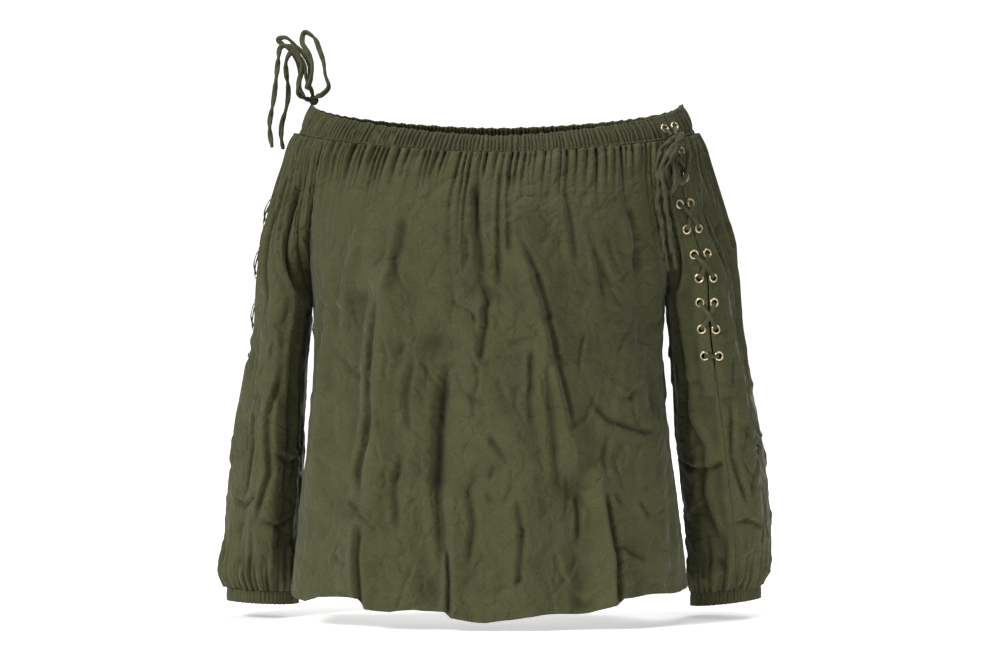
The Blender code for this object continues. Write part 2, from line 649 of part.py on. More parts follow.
def make_band(face, band_cloth, chance):
    left, right = slit_turn("left"), slit_turn("right")
    start, end = (left, right) if face == "front" else (right, 360.0 + left)
    columns = GATHERS["band_" + face] * 2
    rows, heights = [], []
    for down in (0.0, 1.0):
        line = dense_line(lambda turn: band_point(turn, down), start, end)
        row = resample(line, SLIT_HALF_GAP, SLIT_HALF_GAP, columns)
        rows.append(row)
        spacing = (row[1] - row[0]).length
        row_height = []
        for j in range(columns + 1):
            clear = min(1.0, max(0.0, min(j, columns - j) * spacing - FLAT_ROOM) / BAND_FLAT_BLEND)
            row_height.append(BAND_GATHER_HEIGHT * (BAND_RIDGE if j % 2 else BAND_DIP) * clear
                              * (BAND_GATHER_LEAST + BAND_GATHER_SPREAD * chance.random()))
        heights.append(row_height)
    normals = row_normals(rows, lambda i: Vector((0.0, 0.0, rows[i][0].z)))
    level(normals, 0)
    level(normals, 1)
    return cloth_wall("neck_band_" + face, rows, normals, heights, BAND_WALL, band_cloth)


def cuff_line(side, drop):
    def point_at(turn):
        point = ring_point(side, turn, SLEEVE_LENGTH)
        centre = (ring_point(side, 0.0, SLEEVE_LENGTH) + ring_point(side, 180.0, SLEEVE_LENGTH)) / 2
        outward = point - centre
        outward.z = 0.0
        return point + outward.normalized() * CUFF_SPREAD - Vector((0.0, 0.0, drop))
    return dense_line(point_at, -180.0, 180.0)


def make_cuff(side, band_cloth, chance):
    """A closed ring of doubled cloth with a row of gathers."""
    columns = GATHERS["cuff"] * 2
    vertices, faces = [], []
    for drop, spread in ((BAND_GAP, 0.0), (BAND_GAP + CUFF_HEIGHT, 0.4)):
        row = resample(cuff_line(side, drop), 0.0, 0.0, columns)[:-1]
        centre = sum(row, Vector()) / columns
        for sheet in (1, -1):
            for j, point in enumerate(row):
                outward = point - centre
                outward.z = 0.0
                ridge = (CUFF_GATHER_HEIGHT * (BAND_RIDGE if j % 2 else BAND_DIP)
                         * (BAND_GATHER_LEAST + BAND_GATHER_SPREAD * chance.random()))
                vertices.append(point + outward.normalized() * (sheet * BAND_WALL / 2 + ridge + spread))
    top_outer, top_inner, foot_outer, foot_inner = 0, columns, 2 * columns, 3 * columns
    for a, b in ((top_outer, foot_outer), (foot_outer, foot_inner), (foot_inner, top_inner),
                 (top_inner, top_outer)):
        for j in range(columns):
            k = (j + 1) % columns
            faces.append((a + j, a + k, b + k, b + j))
    return new_object("cuff_" + side, vertices, faces, band_cloth)


def slit_surface(side, across, drop):
    """Middle of the cloth beside the slit: point, outward normal, direction to the back, direction down.

    Across is a length from the slit's middle line, towards the back; a drop below 0 is on the neck band."""
    step = 0.01
    if drop < 0:
        band_height = BAND_FOOT["side"] - BAND_TOP["side"]
        sign = 1.0 if side == "right" else -1.0
        middle = slit_turn(side)

        def at(share, at_drop):
            return band_point(middle + sign * share * 100.0, 1.0 - at_drop / band_height)
    else:
        def at(share, at_drop):
            return sleeve_point(side, OUTER_SEAM_SHARE[side] + share, at_drop)
    length_per_share = (at(step, drop) - at(-step, drop)).length / (2 * step)
    share = across / length_per_share
    point = at(share, drop)
    to_back = (at(share + step, drop) - at(share - step, drop)).normalized()
    down = (at(share, drop + 1.0) - point).normalized()
    normal = to_back.cross(down).normalized()
    inside = Vector((math.copysign(120.0, point.x), 0.0, point.z))
    if normal.dot(point - inside) < 0:
        normal = -normal
    return point, normal, to_back, down


def surface_tree(objects):
    """The outer faces of some objects, for casting lines onto; sizes in millimetres."""
    vertices, faces = [], []
    graph = bpy.context.evaluated_depsgraph_get()
    for each in objects:
        mesh = each.evaluated_get(graph).to_mesh()
        start = len(vertices)
        vertices += [v.co / MM for v in mesh.vertices]
        faces += [[start + k for k in polygon.vertices] for polygon in mesh.polygons]
    return BVHTree.FromPolygons(vertices, faces)


def eyelet_seat(tree, point, normal, to_back, down):
    """Height over the middle of the cloth at which a ring's underside just clears the cloth."""
    cast_from = 10.0
    highest = -cast_from
    rings = 5
    for ring in range(rings):
        radius = EYELET_HOLE_RADIUS + (EYELET_OUTER_RADIUS - EYELET_HOLE_RADIUS) * ring / (rings - 1)
        for k in range(6 * EYELET_SIDES):
            turn = math.pi * k / EYELET_SIDES / 3
            start = point + (to_back * math.cos(turn) + down * math.sin(turn)) * radius + normal * cast_from
            hit = tree.ray_cast(start, -normal, 2 * cast_from)
            if hit[0] is not None:
                highest = max(highest, cast_from - hit[3])
    return highest + SEAM_GAP


def make_eyelet(name, seat_point, normal, to_back, metal):
    """A rolled ring with a chamfered top."""
    along = normal.cross(to_back).normalized()
    across = along.cross(normal).normalized()
    profile = ((EYELET_HOLE_RADIUS, 0.0), (EYELET_OUTER_RADIUS, 0.0),
               (EYELET_OUTER_RADIUS - EYELET_OUTER_CHAMFER, EYELET_HEIGHT),
               (EYELET_HOLE_RADIUS + EYELET_INNER_CHAMFER, EYELET_HEIGHT))
    vertices, faces = [], []
    for k in range(EYELET_SIDES):
        turn = 2 * math.pi * (k + 0.5) / EYELET_SIDES
        spoke = across * math.cos(turn) + along * math.sin(turn)
        vertices += [seat_point + spoke * radius + normal * height for radius, height in profile]
    size = len(profile)
    for k in range(EYELET_SIDES):
        here, there = k * size, (k + 1) % EYELET_SIDES * size
        for m in range(size):
            n = (m + 1) % size
            faces.append((here + m, here + n, there + n, there + m))
    return new_object(name, vertices, faces, metal, smooth=False)


def cut_holes(panel, places, material):
    """Square holes through a panel, one under each eyelet."""
    vertices, faces = [], []
    half = CLOTH_HOLE / 2
    for point, normal, to_back, _ in places:
        along = normal.cross(to_back).normalized()
        base = len(vertices)
        for level_at in (-HOLE_REACH, HOLE_REACH):
            for a, b in ((-half, -half), (half, -half), (half, half), (-half, half)):
                vertices.append(point + to_back * a + along * b + normal * level_at)
        faces += [tuple(base + k for k in quad) for quad in
                  ((0, 3, 2, 1), (4, 5, 6, 7), (0, 1, 5, 4), (1, 2, 6, 5), (2, 3, 7, 6), (3, 0, 4, 7))]
    cutter = new_object(panel.name + "_holes", vertices, faces, material, smooth=False)
    cutter.hide_render = True
    cutter.display_type = "WIRE"
    cut = panel.modifiers.new("eyelet holes", "BOOLEAN")
    cut.operation = "DIFFERENCE"
    cut.solver = "MANIFOLD"      # the exact solver loses one of the sleeve panels
    cut.object = cutter


def lace_stations(side, seats):
    """The crossed lace from one end to the other: across, drop, height and the direction of its width."""
    knot = KNOT[side]
    inside_wide = (1.0, 0.0)

    def through(column, pair, goal):
        """From inside, out through an eyelet and over its rim towards a goal."""
        start = Vector((column * EYELET_FROM_SLIT, EYELET_DROPS[pair]))
        ahead = (goal - start).normalized()
        wide = Vector((ahead.y, -ahead.x))
        half_turned = (wide + Vector(inside_wide) * (1 if wide.x > 0 else -1)).normalized()
        rim = start + ahead * LACE_RIM_STEP
        seat = seats[column, pair]
        return [
            (start.x, start.y, seat + LACE_INSIDE, half_turned),
            (start.x, start.y, seat + LACE_IN_HOLE, wide),
            (rim.x, rim.y, seat + LACE_OVER_RING, wide),
        ]

    def across_outside(column, from_pair, to_pair, over_seats):
        """One outer stretch, from an eyelet to one in the other column."""
        around = [seats[each, pair] for each in (-1, 1) for pair in (from_pair, to_pair)]
        middle_height = max(around) + over_seats
        start = Vector((column * EYELET_FROM_SLIT, EYELET_DROPS[from_pair]))
        goal = Vector((-column * EYELET_FROM_SLIT, EYELET_DROPS[to_pair]))
        ahead = (goal - start).normalized()
        middle = (start + goal) / 2
        coming = through(-column, to_pair, start)[::-1]
        return (through(column, from_pair, goal) + [(middle.x, middle.y, middle_height, (ahead.y, -ahead.x))]
                + coming)

    def strand(column, high):
        """From pair 1 down to pair 10; it crosses over outside after every second pair."""
        stations = []
        for pair in range(1, len(EYELET_DROPS) - 1, 2):
            height = LACE_HIGH_CROSSING if high else LACE_LOW_CROSSING
            stations += across_outside(column, pair, pair + 1, height)
            column, high = -column, not high
        return stations, column

    def to_knot(column):
        from_side = 1.0 if knot["drop"] < EYELET_DROPS[0] else -1.0
        stop = Vector((knot["across"] + column * LACE_END_ACROSS,
                       knot["drop"] + from_side * (knot["radii"][1] + LACE_KNOT_GAP)))
        start = Vector((column * EYELET_FROM_SLIT, EYELET_DROPS[0]))
        ahead = (stop - start).normalized()
        end = (stop.x, stop.y, knot["height"] - LACE_KNOT_DIP, (ahead.y, -ahead.x))
        return through(column, 0, stop) + [end]

    first, column = strand(-1, True)
    second, _ = strand(1, False)
    last = len(EYELET_DROPS) - 1
    bar = across_outside(column, last, last, LACE_LOW_CROSSING)
    return to_knot(-1)[::-1] + first + bar + second[::-1] + to_knot(1)


def make_lacing(side, seats, material):
    """The flat lace through all eyelets of a sleeve."""
    centres, widths = [], []
    for across, drop, height, wide in lace_stations(side, seats):
        point, normal, to_back, down = slit_surface(side, across, drop)
        centres.append(point + normal * height)
        widths.append((to_back * wide[0] + down * wide[1]).normalized())
    for k in range(1, len(widths)):
        if widths[k].dot(widths[k - 1]) < 0:
            widths[k] = -widths[k]
    vertices, faces = [], []
    for k, (centre, wide) in enumerate(zip(centres, widths)):
        before = (centre - centres[k - 1]).normalized() if k else None
        after = (centres[k + 1] - centre).normalized() if k < len(centres) - 1 else None
        ahead = ((before or after) + (after or before)).normalized()
        thick = ahead.cross(wide).normalized()
        mitre = 1.0 if before is None or after is None else min(1.5, 1 / max(0.5, ahead.dot(after)))
        for a, b in ((-1, -1), (1, -1), (1, 1), (-1, 1)):
            vertices.append(centre + wide * (a * LACE_WIDTH / 2) + thick * (b * LACE_THICKNESS / 2 * mitre))
    for k in range(len(centres) - 1):
        for m in range(4):
            n = (m + 1) % 4
            a, b, c, d = 4 * k + m, 4 * k + n, 4 * k + 4 + n, 4 * k + 4 + m
            # opposite faces fold along the same diagonal, so that a twisted stretch doesn't cross itself
            faces += [(a, b, c), (a, c, d)] if m < 2 else [(a, b, d), (b, c, d)]
    last = 4 * (len(centres) - 1)
    faces += [(3, 2, 1, 0), (last, last + 1, last + 2, last + 3)]
    return new_object("lacing_" + side, vertices, faces, material, smooth=False)


def knot_frame(side):
    """Centre of a knot and its three axes: to the back, down and outward."""
    knot = KNOT[side]
    point, normal, to_back, down = slit_surface(side, knot["across"], knot["drop"])
    along = normal.cross(to_back).normalized()
    if along.dot(down) < 0:
        along = -along
    return point + normal * knot["height"], (to_back, along, normal)


def tie_point(side, shares, reach):
    """Point that lies out from a knot's form in one direction."""
    centre, axes = knot_frame(side)
    ahead = Vector(shares).normalized()
    form = 1 / math.sqrt(sum((share / radius) ** 2 for share, radius in zip(ahead, KNOT[side]["radii"])))
    direction = sum((axis * share for axis, share in zip(axes, ahead)), Vector())
    return centre + direction * (form + KNOT_GAP + reach)


def make_knot(side, material):
    knot = KNOT[side]
    centre, axes = knot_frame(side)
    work = bmesh.new()
    bmesh.ops.create_uvsphere(work, u_segments=9, v_segments=6, radius=1.0)
    vertices = []
    for vert in work.verts:
        place = centre.copy()
        for axis, radius, value in zip(axes, knot["radii"], vert.co):
            place += axis * radius * value
        vertices.append(place)
    faces = [[v.index for v in face.verts] for face in work.faces]
    work.free()
    return new_object("knot_" + side, vertices, faces, material)


def smooth_route(points, step):
    """Even points on a smooth curve through the route's points."""
    fine = []
    for k in range(len(points) - 1):
        a, b, c, d = (points[max(k - 1, 0)], points[k], points[k + 1], points[min(k + 2, len(points) - 1)])
        for m in range(8):
            s = m / 8
            fine.append(((b * 2) + (c - a) * s + (a * 2 - b * 5 + c * 4 - d) * s ** 2
                         + (b * 3 - a - c * 3 + d) * s ** 3) / 2)
    fine.append(points[-1])
    total = sum((b - a).length for a, b in zip(fine, fine[1:]))
    return resample(fine, 0.0, 0.0, max(4, round(total / step)))


def make_cord(name, side, route, material):
    """A round cord along a route, tied to its side's knot at one end or both."""
    start_tie, end_tie = TIES[name]
    if start_tie:
        route = [tie_point(side, start_tie, TIE_STUB)] + route
    if end_tie:
        route = route + [tie_point(side, end_tie, TIE_STUB)]
    points = smooth_route(route, CORD_STEP)
    if start_tie:
        points = [tie_point(side, start_tie, 0.0)] + points
    if end_tie:
        points = points + [tie_point(side, end_tie, 0.0)]
    curve = bpy.data.curves.new(name, "CURVE")
    curve.dimensions = "3D"
    curve.bevel_depth = CORD_RADIUS * MM
    curve.bevel_resolution = 2
    curve.use_fill_caps = True
    spline = curve.splines.new("POLY")
    spline.points.add(len(points) - 1)
    for place, point in zip(spline.points, points):
        place.co = (*(point * MM), 1.0)
    curve.materials.append(material)
    made = bpy.data.objects.new(name, curve)
    bpy.context.scene.collection.objects.link(made)
    return made


def laid_route(tree, rows):
    """Route points in front of the foremost thing behind them, seen from the front."""
    route = []
    for x, z, clear in rows:
        front_y = FAR
        for k in range(PROBE_COUNT):
            turn = 2 * math.pi * k / PROBE_COUNT
            start = Vector((x + CORD_PROBE * math.cos(turn), -FAR, z + CORD_PROBE * math.sin(turn)))
            hit = tree.ray_cast(start, Vector((0.0, 1.0, 0.0)), 2 * FAR)
            if hit[0] is not None:
                front_y = min(front_y, hit[0].y)
        route.append(Vector((x, front_y - clear, z)))
    return route


def eyelet_places(side, half):
    """Where the eyelets of one column sit on the middle of the cloth."""
    column = -1 if half == "front" else 1
    return [slit_surface(side, column * EYELET_FROM_SLIT, drop) for drop in EYELET_DROPS]


def make_eyelet_column(side, half, panels, metal):
    """The ten rings of one column, each seated on its cloth; returns their seats' heights."""
    band_tree = surface_tree([panels["neck_band_" + half]])
    sleeve_tree = surface_tree([panels["sleeve_" + side + "_" + half]])
    seats = []
    for pair, (point, normal, to_back, _) in enumerate(eyelet_places(side, half)):
        tree = band_tree if pair == 0 else sleeve_tree
        along = normal.cross(to_back).normalized()
        seat = eyelet_seat(tree, point, normal, to_back, along)
        name = "eyelet_%s_%s_%02d" % (side, half, pair + 1)
        make_eyelet(name, point + normal * seat, normal, to_back, metal)
        seats.append(seat)
    return seats


def build():
    chance = random.Random(11)
    cloth = finish_material("olive viscose", (0.085, 0.085, 0.036), 0.85)
    band_cloth = finish_material("olive viscose over elastic", (0.078, 0.078, 0.033), 0.88)
    lace = finish_material("olive viscose lace", (0.07, 0.07, 0.03), 0.8)
    metal = finish_material("pale gold plated brass", (0.72, 0.62, 0.42), 0.25, 1.0)
    sides, halves = ("left", "right"), ("front", "back")

    pieces = [make_body("front", FRONT_FOLDS, cloth, chance), make_body("back", BACK_FOLDS, cloth, chance)]
    for side in sides:
        for half in halves:
            pieces.append(make_sleeve_half(side, half, cloth, chance))
    for half in halves:
        pieces.append(make_band(half, band_cloth, chance))
    for side in sides:
        make_cuff(side, band_cloth, chance)
    panels = {piece.name: piece for piece in pieces}

    for half in halves:
        places = {side: eyelet_places(side, half) for side in sides}
        for side in sides:
            cut_holes(panels["sleeve_" + side + "_" + half], places[side][1:], cloth)
        cut_holes(panels["neck_band_" + half], [places[side][0] for side in sides], cloth)

    for side in sides:
        front_seats = make_eyelet_column(side, "front", panels, metal)
        back_seats = make_eyelet_column(side, "back", panels, metal)
        seats = {(-1, pair): seat for pair, seat in enumerate(front_seats)}
        seats.update({(1, pair): seat for pair, seat in enumerate(back_seats)})
        make_lacing(side, seats, lace)
        make_knot(side, lace)

    under_bow = ("body_front", "sleeve_right", "neck_band", "eyelet_right", "lacing_right")
    behind = surface_tree([piece for piece in bpy.data.objects
                           if piece.name.startswith(under_bow) and not piece.hide_render])
    make_cord("loops_left", "left", [Vector(row) for row in LEFT_LOOPS], lace)
    make_cord("tail_left_a", "left", [Vector(row) for row in LEFT_TAIL_A], lace)
    make_cord("tail_left_b", "left", [Vector(row) for row in LEFT_TAIL_B], lace)
    make_cord("loops_right", "right", laid_route(behind, RIGHT_LOOPS), lace)
    make_cord("tail_right_a", "right", laid_route(behind, RIGHT_TAIL_A), lace)
    make_cord("tail_right_b", "right", laid_route(behind, RIGHT_TAIL_B), lace)


build()
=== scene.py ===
import math
import random

import bmesh
import bpy
import numpy as np
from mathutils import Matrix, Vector
from mathutils.bvhtree import BVHTree


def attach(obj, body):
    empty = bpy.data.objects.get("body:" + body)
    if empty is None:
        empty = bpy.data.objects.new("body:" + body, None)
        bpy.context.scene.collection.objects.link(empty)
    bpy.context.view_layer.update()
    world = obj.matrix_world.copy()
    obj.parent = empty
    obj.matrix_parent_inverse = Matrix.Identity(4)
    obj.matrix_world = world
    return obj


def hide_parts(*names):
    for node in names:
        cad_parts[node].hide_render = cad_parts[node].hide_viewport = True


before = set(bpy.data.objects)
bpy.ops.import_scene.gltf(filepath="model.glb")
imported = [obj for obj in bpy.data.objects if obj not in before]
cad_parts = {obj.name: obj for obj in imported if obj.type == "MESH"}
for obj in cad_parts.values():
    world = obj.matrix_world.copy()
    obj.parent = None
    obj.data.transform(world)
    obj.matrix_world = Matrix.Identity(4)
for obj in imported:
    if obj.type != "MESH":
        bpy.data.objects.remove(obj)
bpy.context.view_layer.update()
mm = 0.001

# the form that the cloth lies on, the same as the solids'
form = {
    "bandTop": {"front": -13.0, "side": 28.0, "back": 9.0},
    "bandFoot": {"front": -31.0, "side": -3.0, "back": -17.0},
    "bandRisePower": 0.7,
    "bandTopSection": (0.0, 203.0, 0.0, -94.0, 95.0),
    "sectionPower": 0.9,
    "underarmDrop": 180.0,
    "bodyLength": 497.0,
    "sleeveLength": 503.0,
    "seamStart": {"left_front": 58.0, "left_back": 48.0, "right_front": 48.0, "right_back": 58.0},
    "seamPower": {"left_front": 1.2, "left_back": 2.0, "right_front": 2.0, "right_back": 1.2},
    "underarmClear": 1.7,
    "openHalfTurn": 100.0,
    "cuffTilt": {"left": 0.05, "right": 0.12},
    "tiltStart": 400.0,
    "outerSeamShare": {"left": 0.52, "right": 0.18},
    "slitLength": 258.0,
    # drop, middle x, half width, side y, front y, back y
    "bodySections": (
        (0, 0, 216, 0, -110, 105), (30, -2, 214, 0, -125, 115), (70, -4, 208, 0, -137, 121),
        (120, -6, 202, 3, -140, 121), (180, -8, 193, 5, -135, 113), (225, -8, 190, -2, -131, 106),
        (271, -8, 190, -15, -130, 101), (337, -8, 196, -26, -133, 100), (402, -8, 204, -32, -138, 103),
        (450, -8, 210, -35, -142, 106), (497, -8, 215, -35, -146, 110)),
    # drop, outer, inner, middle y, half depth
    "sleeveRings": {
        "left": (
            (180, 265, 203, 5, 66), (225, 268, 208, 10, 66), (271, 276, 211, 15, 65), (337, 286, 214, 20, 62),
            (402, 293, 218, 24, 60), (450, 299, 221, 26, 56), (483, 303, 221, 27, 48), (503, 297, 222.5, 27, 35)),
        "right": (
            (180, 263, 187, 5, 66), (225, 269, 192, 10, 66), (271, 280, 196, 15, 65), (337, 292, 200, 20, 62),
            (402, 299, 206, 24, 60), (450, 301, 212, 26, 56), (483, 298, 215, 27, 48), (503, 290, 217, 27, 35))},
    # drop, angle round the sleeve: 0 outward, -90 at the front
    "outerSeamTurns": {
        "left": ((0, 6), (200, 8), (503, 4)),
        "right": ((0, -58), (90, -70), (180, -85), (270, -90), (503, -84))},
}


# a table's values at one drop, on a smooth curve through its rows
def valuesAt(table, at):
    rows = np.array(table, float)
    places = rows[:, 0]
    if at <= places[0]:
        return rows[0, 1:]
    if at >= places[-1]:
        return rows[-1, 1:]
    slopes = np.empty_like(rows)
    slopes[0] = (rows[1] - rows[0]) / (places[1] - places[0])
    slopes[-1] = (rows[-1] - rows[-2]) / (places[-1] - places[-2])
    slopes[1:-1] = (rows[2:] - rows[:-2]) / (places[2:] - places[:-2])[:, None]
    low = int(np.searchsorted(places, at, side="right")) - 1
    step = places[low + 1] - places[low]
    s = (at - places[low]) / step
    mixed = ((2 * s ** 3 - 3 * s ** 2 + 1) * rows[low] + (s ** 3 - 2 * s ** 2 + s) * step * slopes[low]
             + (3 * s ** 2 - 2 * s ** 3) * rows[low + 1] + (s ** 3 - s ** 2) * step * slopes[low + 1])
    return mixed[1:]


def edgeHeight(edge, turns):
    facing = np.cos(np.radians(turns))
    middle = np.where(facing > 0, edge["front"], edge["back"])
    return middle + (edge["side"] - middle) * (1 - np.abs(facing)) ** form["bandRisePower"]


def sectionPoints(turns, section, heights):
    middleX, halfWidth, sideY, frontY, backY = section
    across = np.sin(np.radians(turns))
    facing = np.cos(np.radians(turns))
    power = form["sectionPower"]
    reach = np.where(facing > 0, frontY - sideY, backY - sideY)
    x = middleX + halfWidth * np.sign(across) * np.abs(across) ** power
    y = sideY + reach * np.abs(facing) ** power
    return np.stack([x, y, heights], axis=-1)


# points round the body at one drop below the neck band; a turn is the angle from the front middle
def bodyPoints(turns, drop):
    turns = np.asarray(turns, float)
    return sectionPoints(turns, valuesAt(form["bodySections"], drop), edgeHeight(form["bandFoot"], turns) - drop)


def bandPoints(turns, down):
    turns = np.asarray(turns, float)
    top = sectionPoints(turns, form["bandTopSection"], edgeHeight(form["bandTop"], turns))
    return top * (1 - down) + bodyPoints(turns, 0.0) * down


def seamTurn(seam, drop):
    start = form["seamStart"][seam]
    share = min(1.0, drop / form["underarmDrop"])
    return start + (90.0 - start) * share ** form["seamPower"][seam]


def seamPoint(side, face, drop):
    turn = seamTurn(side + "_" + face, drop)
    if face == "back":
        turn = 180.0 - turn
    return bodyPoints([turn if side == "right" else -turn], drop)[0]


def ringPoints(side, turns, drop):
    turns = np.asarray(turns, float)
    outer, inner, middleY, halfDepth = valuesAt(form["sleeveRings"][side], max(drop, form["underarmDrop"]))
    middleX, reach = (outer + inner) / 2, (outer - inner) / 2
    x = middleX + reach * np.cos(np.radians(turns))
    y = middleY + halfDepth * np.sin(np.radians(turns))
    tilt = min(1.0, max(0.0, (drop - form["tiltStart"]) / (form["sleeveLength"] - form["tiltStart"])))
    z = form["bandFoot"]["side"] - drop + form["cuffTilt"][side] * tilt * (x - middleX)
    return np.stack([x if side == "right" else -x, y, z], axis=-1)


def ringTurns(side, shares, drop, openHalf):
    seamShare = form["outerSeamShare"][side]
    seamAt = valuesAt(form["outerSeamTurns"][side], drop)[0]
    before = -openHalf + (seamAt + openHalf) * shares / seamShare
    after = seamAt + (openHalf - seamAt) * (shares - seamShare) / (1 - seamShare)
    return np.where(shares < seamShare, before, after)


# points on a sleeve at one drop; shares run from the front armhole seam over the outside to the back one
def sleevePoints(side, shares, drop):
    shares = np.asarray(shares, float)
    underarm = form["underarmDrop"]
    if drop >= underarm:
        return ringPoints(side, ringTurns(side, shares, drop, 180.0), drop)
    down = drop / underarm
    mirror = 1.0 if side == "right" else -1.0
    frontTurn = seamTurn(side + "_front", 0.0)
    backTurn = 180.0 - seamTurn(side + "_back", 0.0)
    neck = bodyPoints(mirror * (frontTurn + (backTurn - frontTurn) * shares), 0.0)
    openHalf = form["openHalfTurn"] + (180.0 - form["openHalfTurn"]) * down ** 3
    ring = ringPoints(side, ringTurns(side, shares, drop, openHalf), underarm)
    spread = 1 - (1 - down) ** 2
    points = neck + (ring - neck) * spread
    points[:, 2] = neck[:, 2] + (ring[:, 2] - neck[:, 2]) * down
    for seamShare, face, seamNeck, ringTurn in ((0.0, "front", frontTurn, -openHalf), (1.0, "back", backTurn, openHalf)):
        away = np.abs(shares - seamShare)
        seamStart = bodyPoints([mirror * seamNeck], 0.0)[0]
        seamRing = ringPoints(side, [ringTurn], underarm)[0]
        free = seamStart + (seamRing - seamStart) * spread
        free[2] = seamStart[2] + (seamRing[2] - seamStart[2]) * down
        pull = np.where(away < 0.5, np.cos(np.pi * np.minimum(away, 0.5)) ** 2, 0.0)
        points += (seamPoint(side, face, drop) - free) * pull[:, None]
    points[:, 0] += mirror * form["underarmClear"] * down ** 6 * (1 - np.sin(np.pi * shares))
    return points


# even points along a line, after cutting a length off each end
def evenRow(line, cutStart, cutEnd, count):
    steps = np.linalg.norm(np.diff(line, axis=0), axis=1)
    along = np.concatenate([[0.0], np.cumsum(steps)])
    at = np.linspace(cutStart, along[-1] - cutEnd, count + 1)
    return np.stack([np.interp(at, along, line[:, k]) for k in range(3)], axis=-1), at

scene = bpy.context.scene


def toLinear(hexColour):
    parts = [int(hexColour[k:k + 2], 16) / 255 for k in (0, 2, 4)]
    return tuple(p / 12.92 if p <= 0.04045 else ((p + 0.055) / 1.055) ** 2.4 for p in parts) + (1.0,)


def newPiece(name, vertices, faces, material, uvs=None, smooth=True):
    mesh = bpy.data.meshes.new(name)
    mesh.from_pydata([tuple(v) for v in np.asarray(vertices, float) * mm], [], faces)
    if uvs is not None:
        layer = mesh.uv_layers.new(name="cloth")
        corner = np.empty(len(mesh.loops), int)
        mesh.loops.foreach_get("vertex_index", corner)
        layer.data.foreach_set("uv", np.asarray(uvs, float)[corner].ravel())
    mesh.validate()
    if smooth:
        mesh.shade_smooth()
    mesh.materials.append(material)
    piece = bpy.data.objects.new(name, mesh)
    scene.collection.objects.link(piece)
    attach(piece, "root")
    return piece


# the photograph's view: a long lens, level with the middle of the blouse
view = {"x": 7.7, "y": -3200.0, "z": -226.6, "lens": 103.9, "sensor": 36.0}
camera = bpy.data.objects.new("camera", bpy.data.cameras.new("camera"))
camera.data.lens = view["lens"]
camera.data.sensor_width = view["sensor"]
camera.data.clip_end = 50.0
camera.location = (view["x"] * mm, view["y"] * mm, view["z"] * mm)
camera.rotation_euler = (math.radians(90), 0, 0)
scene.collection.objects.link(camera)
scene.camera = camera

# white paper round the blouse: a flat floor just under the cuffs, and a bowl that rises far outside it
studio = {"floor": -537.0, "edge": 1300.0, "rise": 3900.0, "bend": 1600.0, "top": 4200.0, "sides": 96}


def makePaper(name, profile):
    vertices, faces = [], []
    count = studio["sides"]
    for radius, z in profile:
        for k in range(count):
            a = 2 * math.pi * k / count
            vertices.append((radius * mm * math.cos(a), radius * mm * math.sin(a), z * mm))
    for row in range(len(profile) - 1):
        for k in range(count):
            n = (k + 1) % count
            faces.append((row * count + k, row * count + n, row * count + count + n, row * count + count + k))
    mesh = bpy.data.meshes.new(name)
    mesh.from_pydata(vertices, [], faces)
    mesh.shade_smooth()
    paper = bpy.data.objects.new(name, mesh)
    scene.collection.objects.link(paper)
    return paper


floor = makePaper("paper_floor", [(1.0, studio["floor"]), (600.0, studio["floor"]),
                                  (studio["edge"], studio["floor"])])
profile = [(studio["edge"], studio["floor"]), (studio["rise"], studio["floor"])]
for k in range(1, 17):
    turn = math.pi / 2 * k / 16
    profile.append((studio["rise"] + studio["bend"] * math.sin(turn),
                    studio["floor"] + studio["bend"] * (1 - math.cos(turn))))
profile.append((studio["rise"] + studio["bend"], studio["top"]))
bowl = makePaper("paper_bowl", profile)
bowl.visible_diffuse = False      # the softboxes light the cloth, not the paper
bowl.visible_glossy = False
bowl.visible_shadow = False

# softboxes: place, aim, size and power
softboxes = {
    "key": {"at": (-2.5, -2.2, 1.9), "size": (1.1, 1.1), "power": 126.0},
    "fill": {"at": (2.6, -2.6, 0.5), "size": (1.2, 1.2), "power": 18.0},
    "top": {"at": (0.3, -0.1, 2.6), "size": (1.4, 1.4), "power": 46.0},
    "back": {"at": (1.4, 3.0, 1.3), "size": (1.4, 1.4), "power": 90.0},
}
for name, box in softboxes.items():
    lamp = bpy.data.lights.new(name, "AREA")
    lamp.shape = "RECTANGLE"
    lamp.size, lamp.size_y = box["size"]
    lamp.energy = box["power"]
    light = bpy.data.objects.new(name, lamp)
    light.location = box["at"]
    aim = Vector((0.0, 0.0, -0.25)) - Vector(box["at"])
    light.rotation_euler = aim.to_track_quat("-Z", "Y").to_euler()
    scene.collection.objects.link(light)

world = bpy.data.worlds.new("studio")
world.use_nodes = True
world.node_tree.nodes["Background"].inputs["Color"].default_value = (1.0, 1.0, 1.0, 1.0)
world.node_tree.nodes["Background"].inputs["Strength"].default_value = 0.1
scene.world = world
scene.view_settings.view_transform = "Standard"
print("camera, paper and lights made")


# one node with its settings, and links into its inputs
def addNode(tree, kind, settings=None, inputs=None, links=None):
    node = tree.nodes.new(kind)
    for key, value in (settings or {}).items():
        setattr(node, key, value)
    for key, value in (inputs or {}).items():
        node.inputs[key].default_value = value
    for key, source in (links or {}).items():
        tree.links.new(source, node.inputs[key])
    return node


def newMaterial(name):
    material = bpy.data.materials.new(name)
    material.use_nodes = True
    return material, material.node_tree, material.node_tree.nodes["Principled BSDF"]


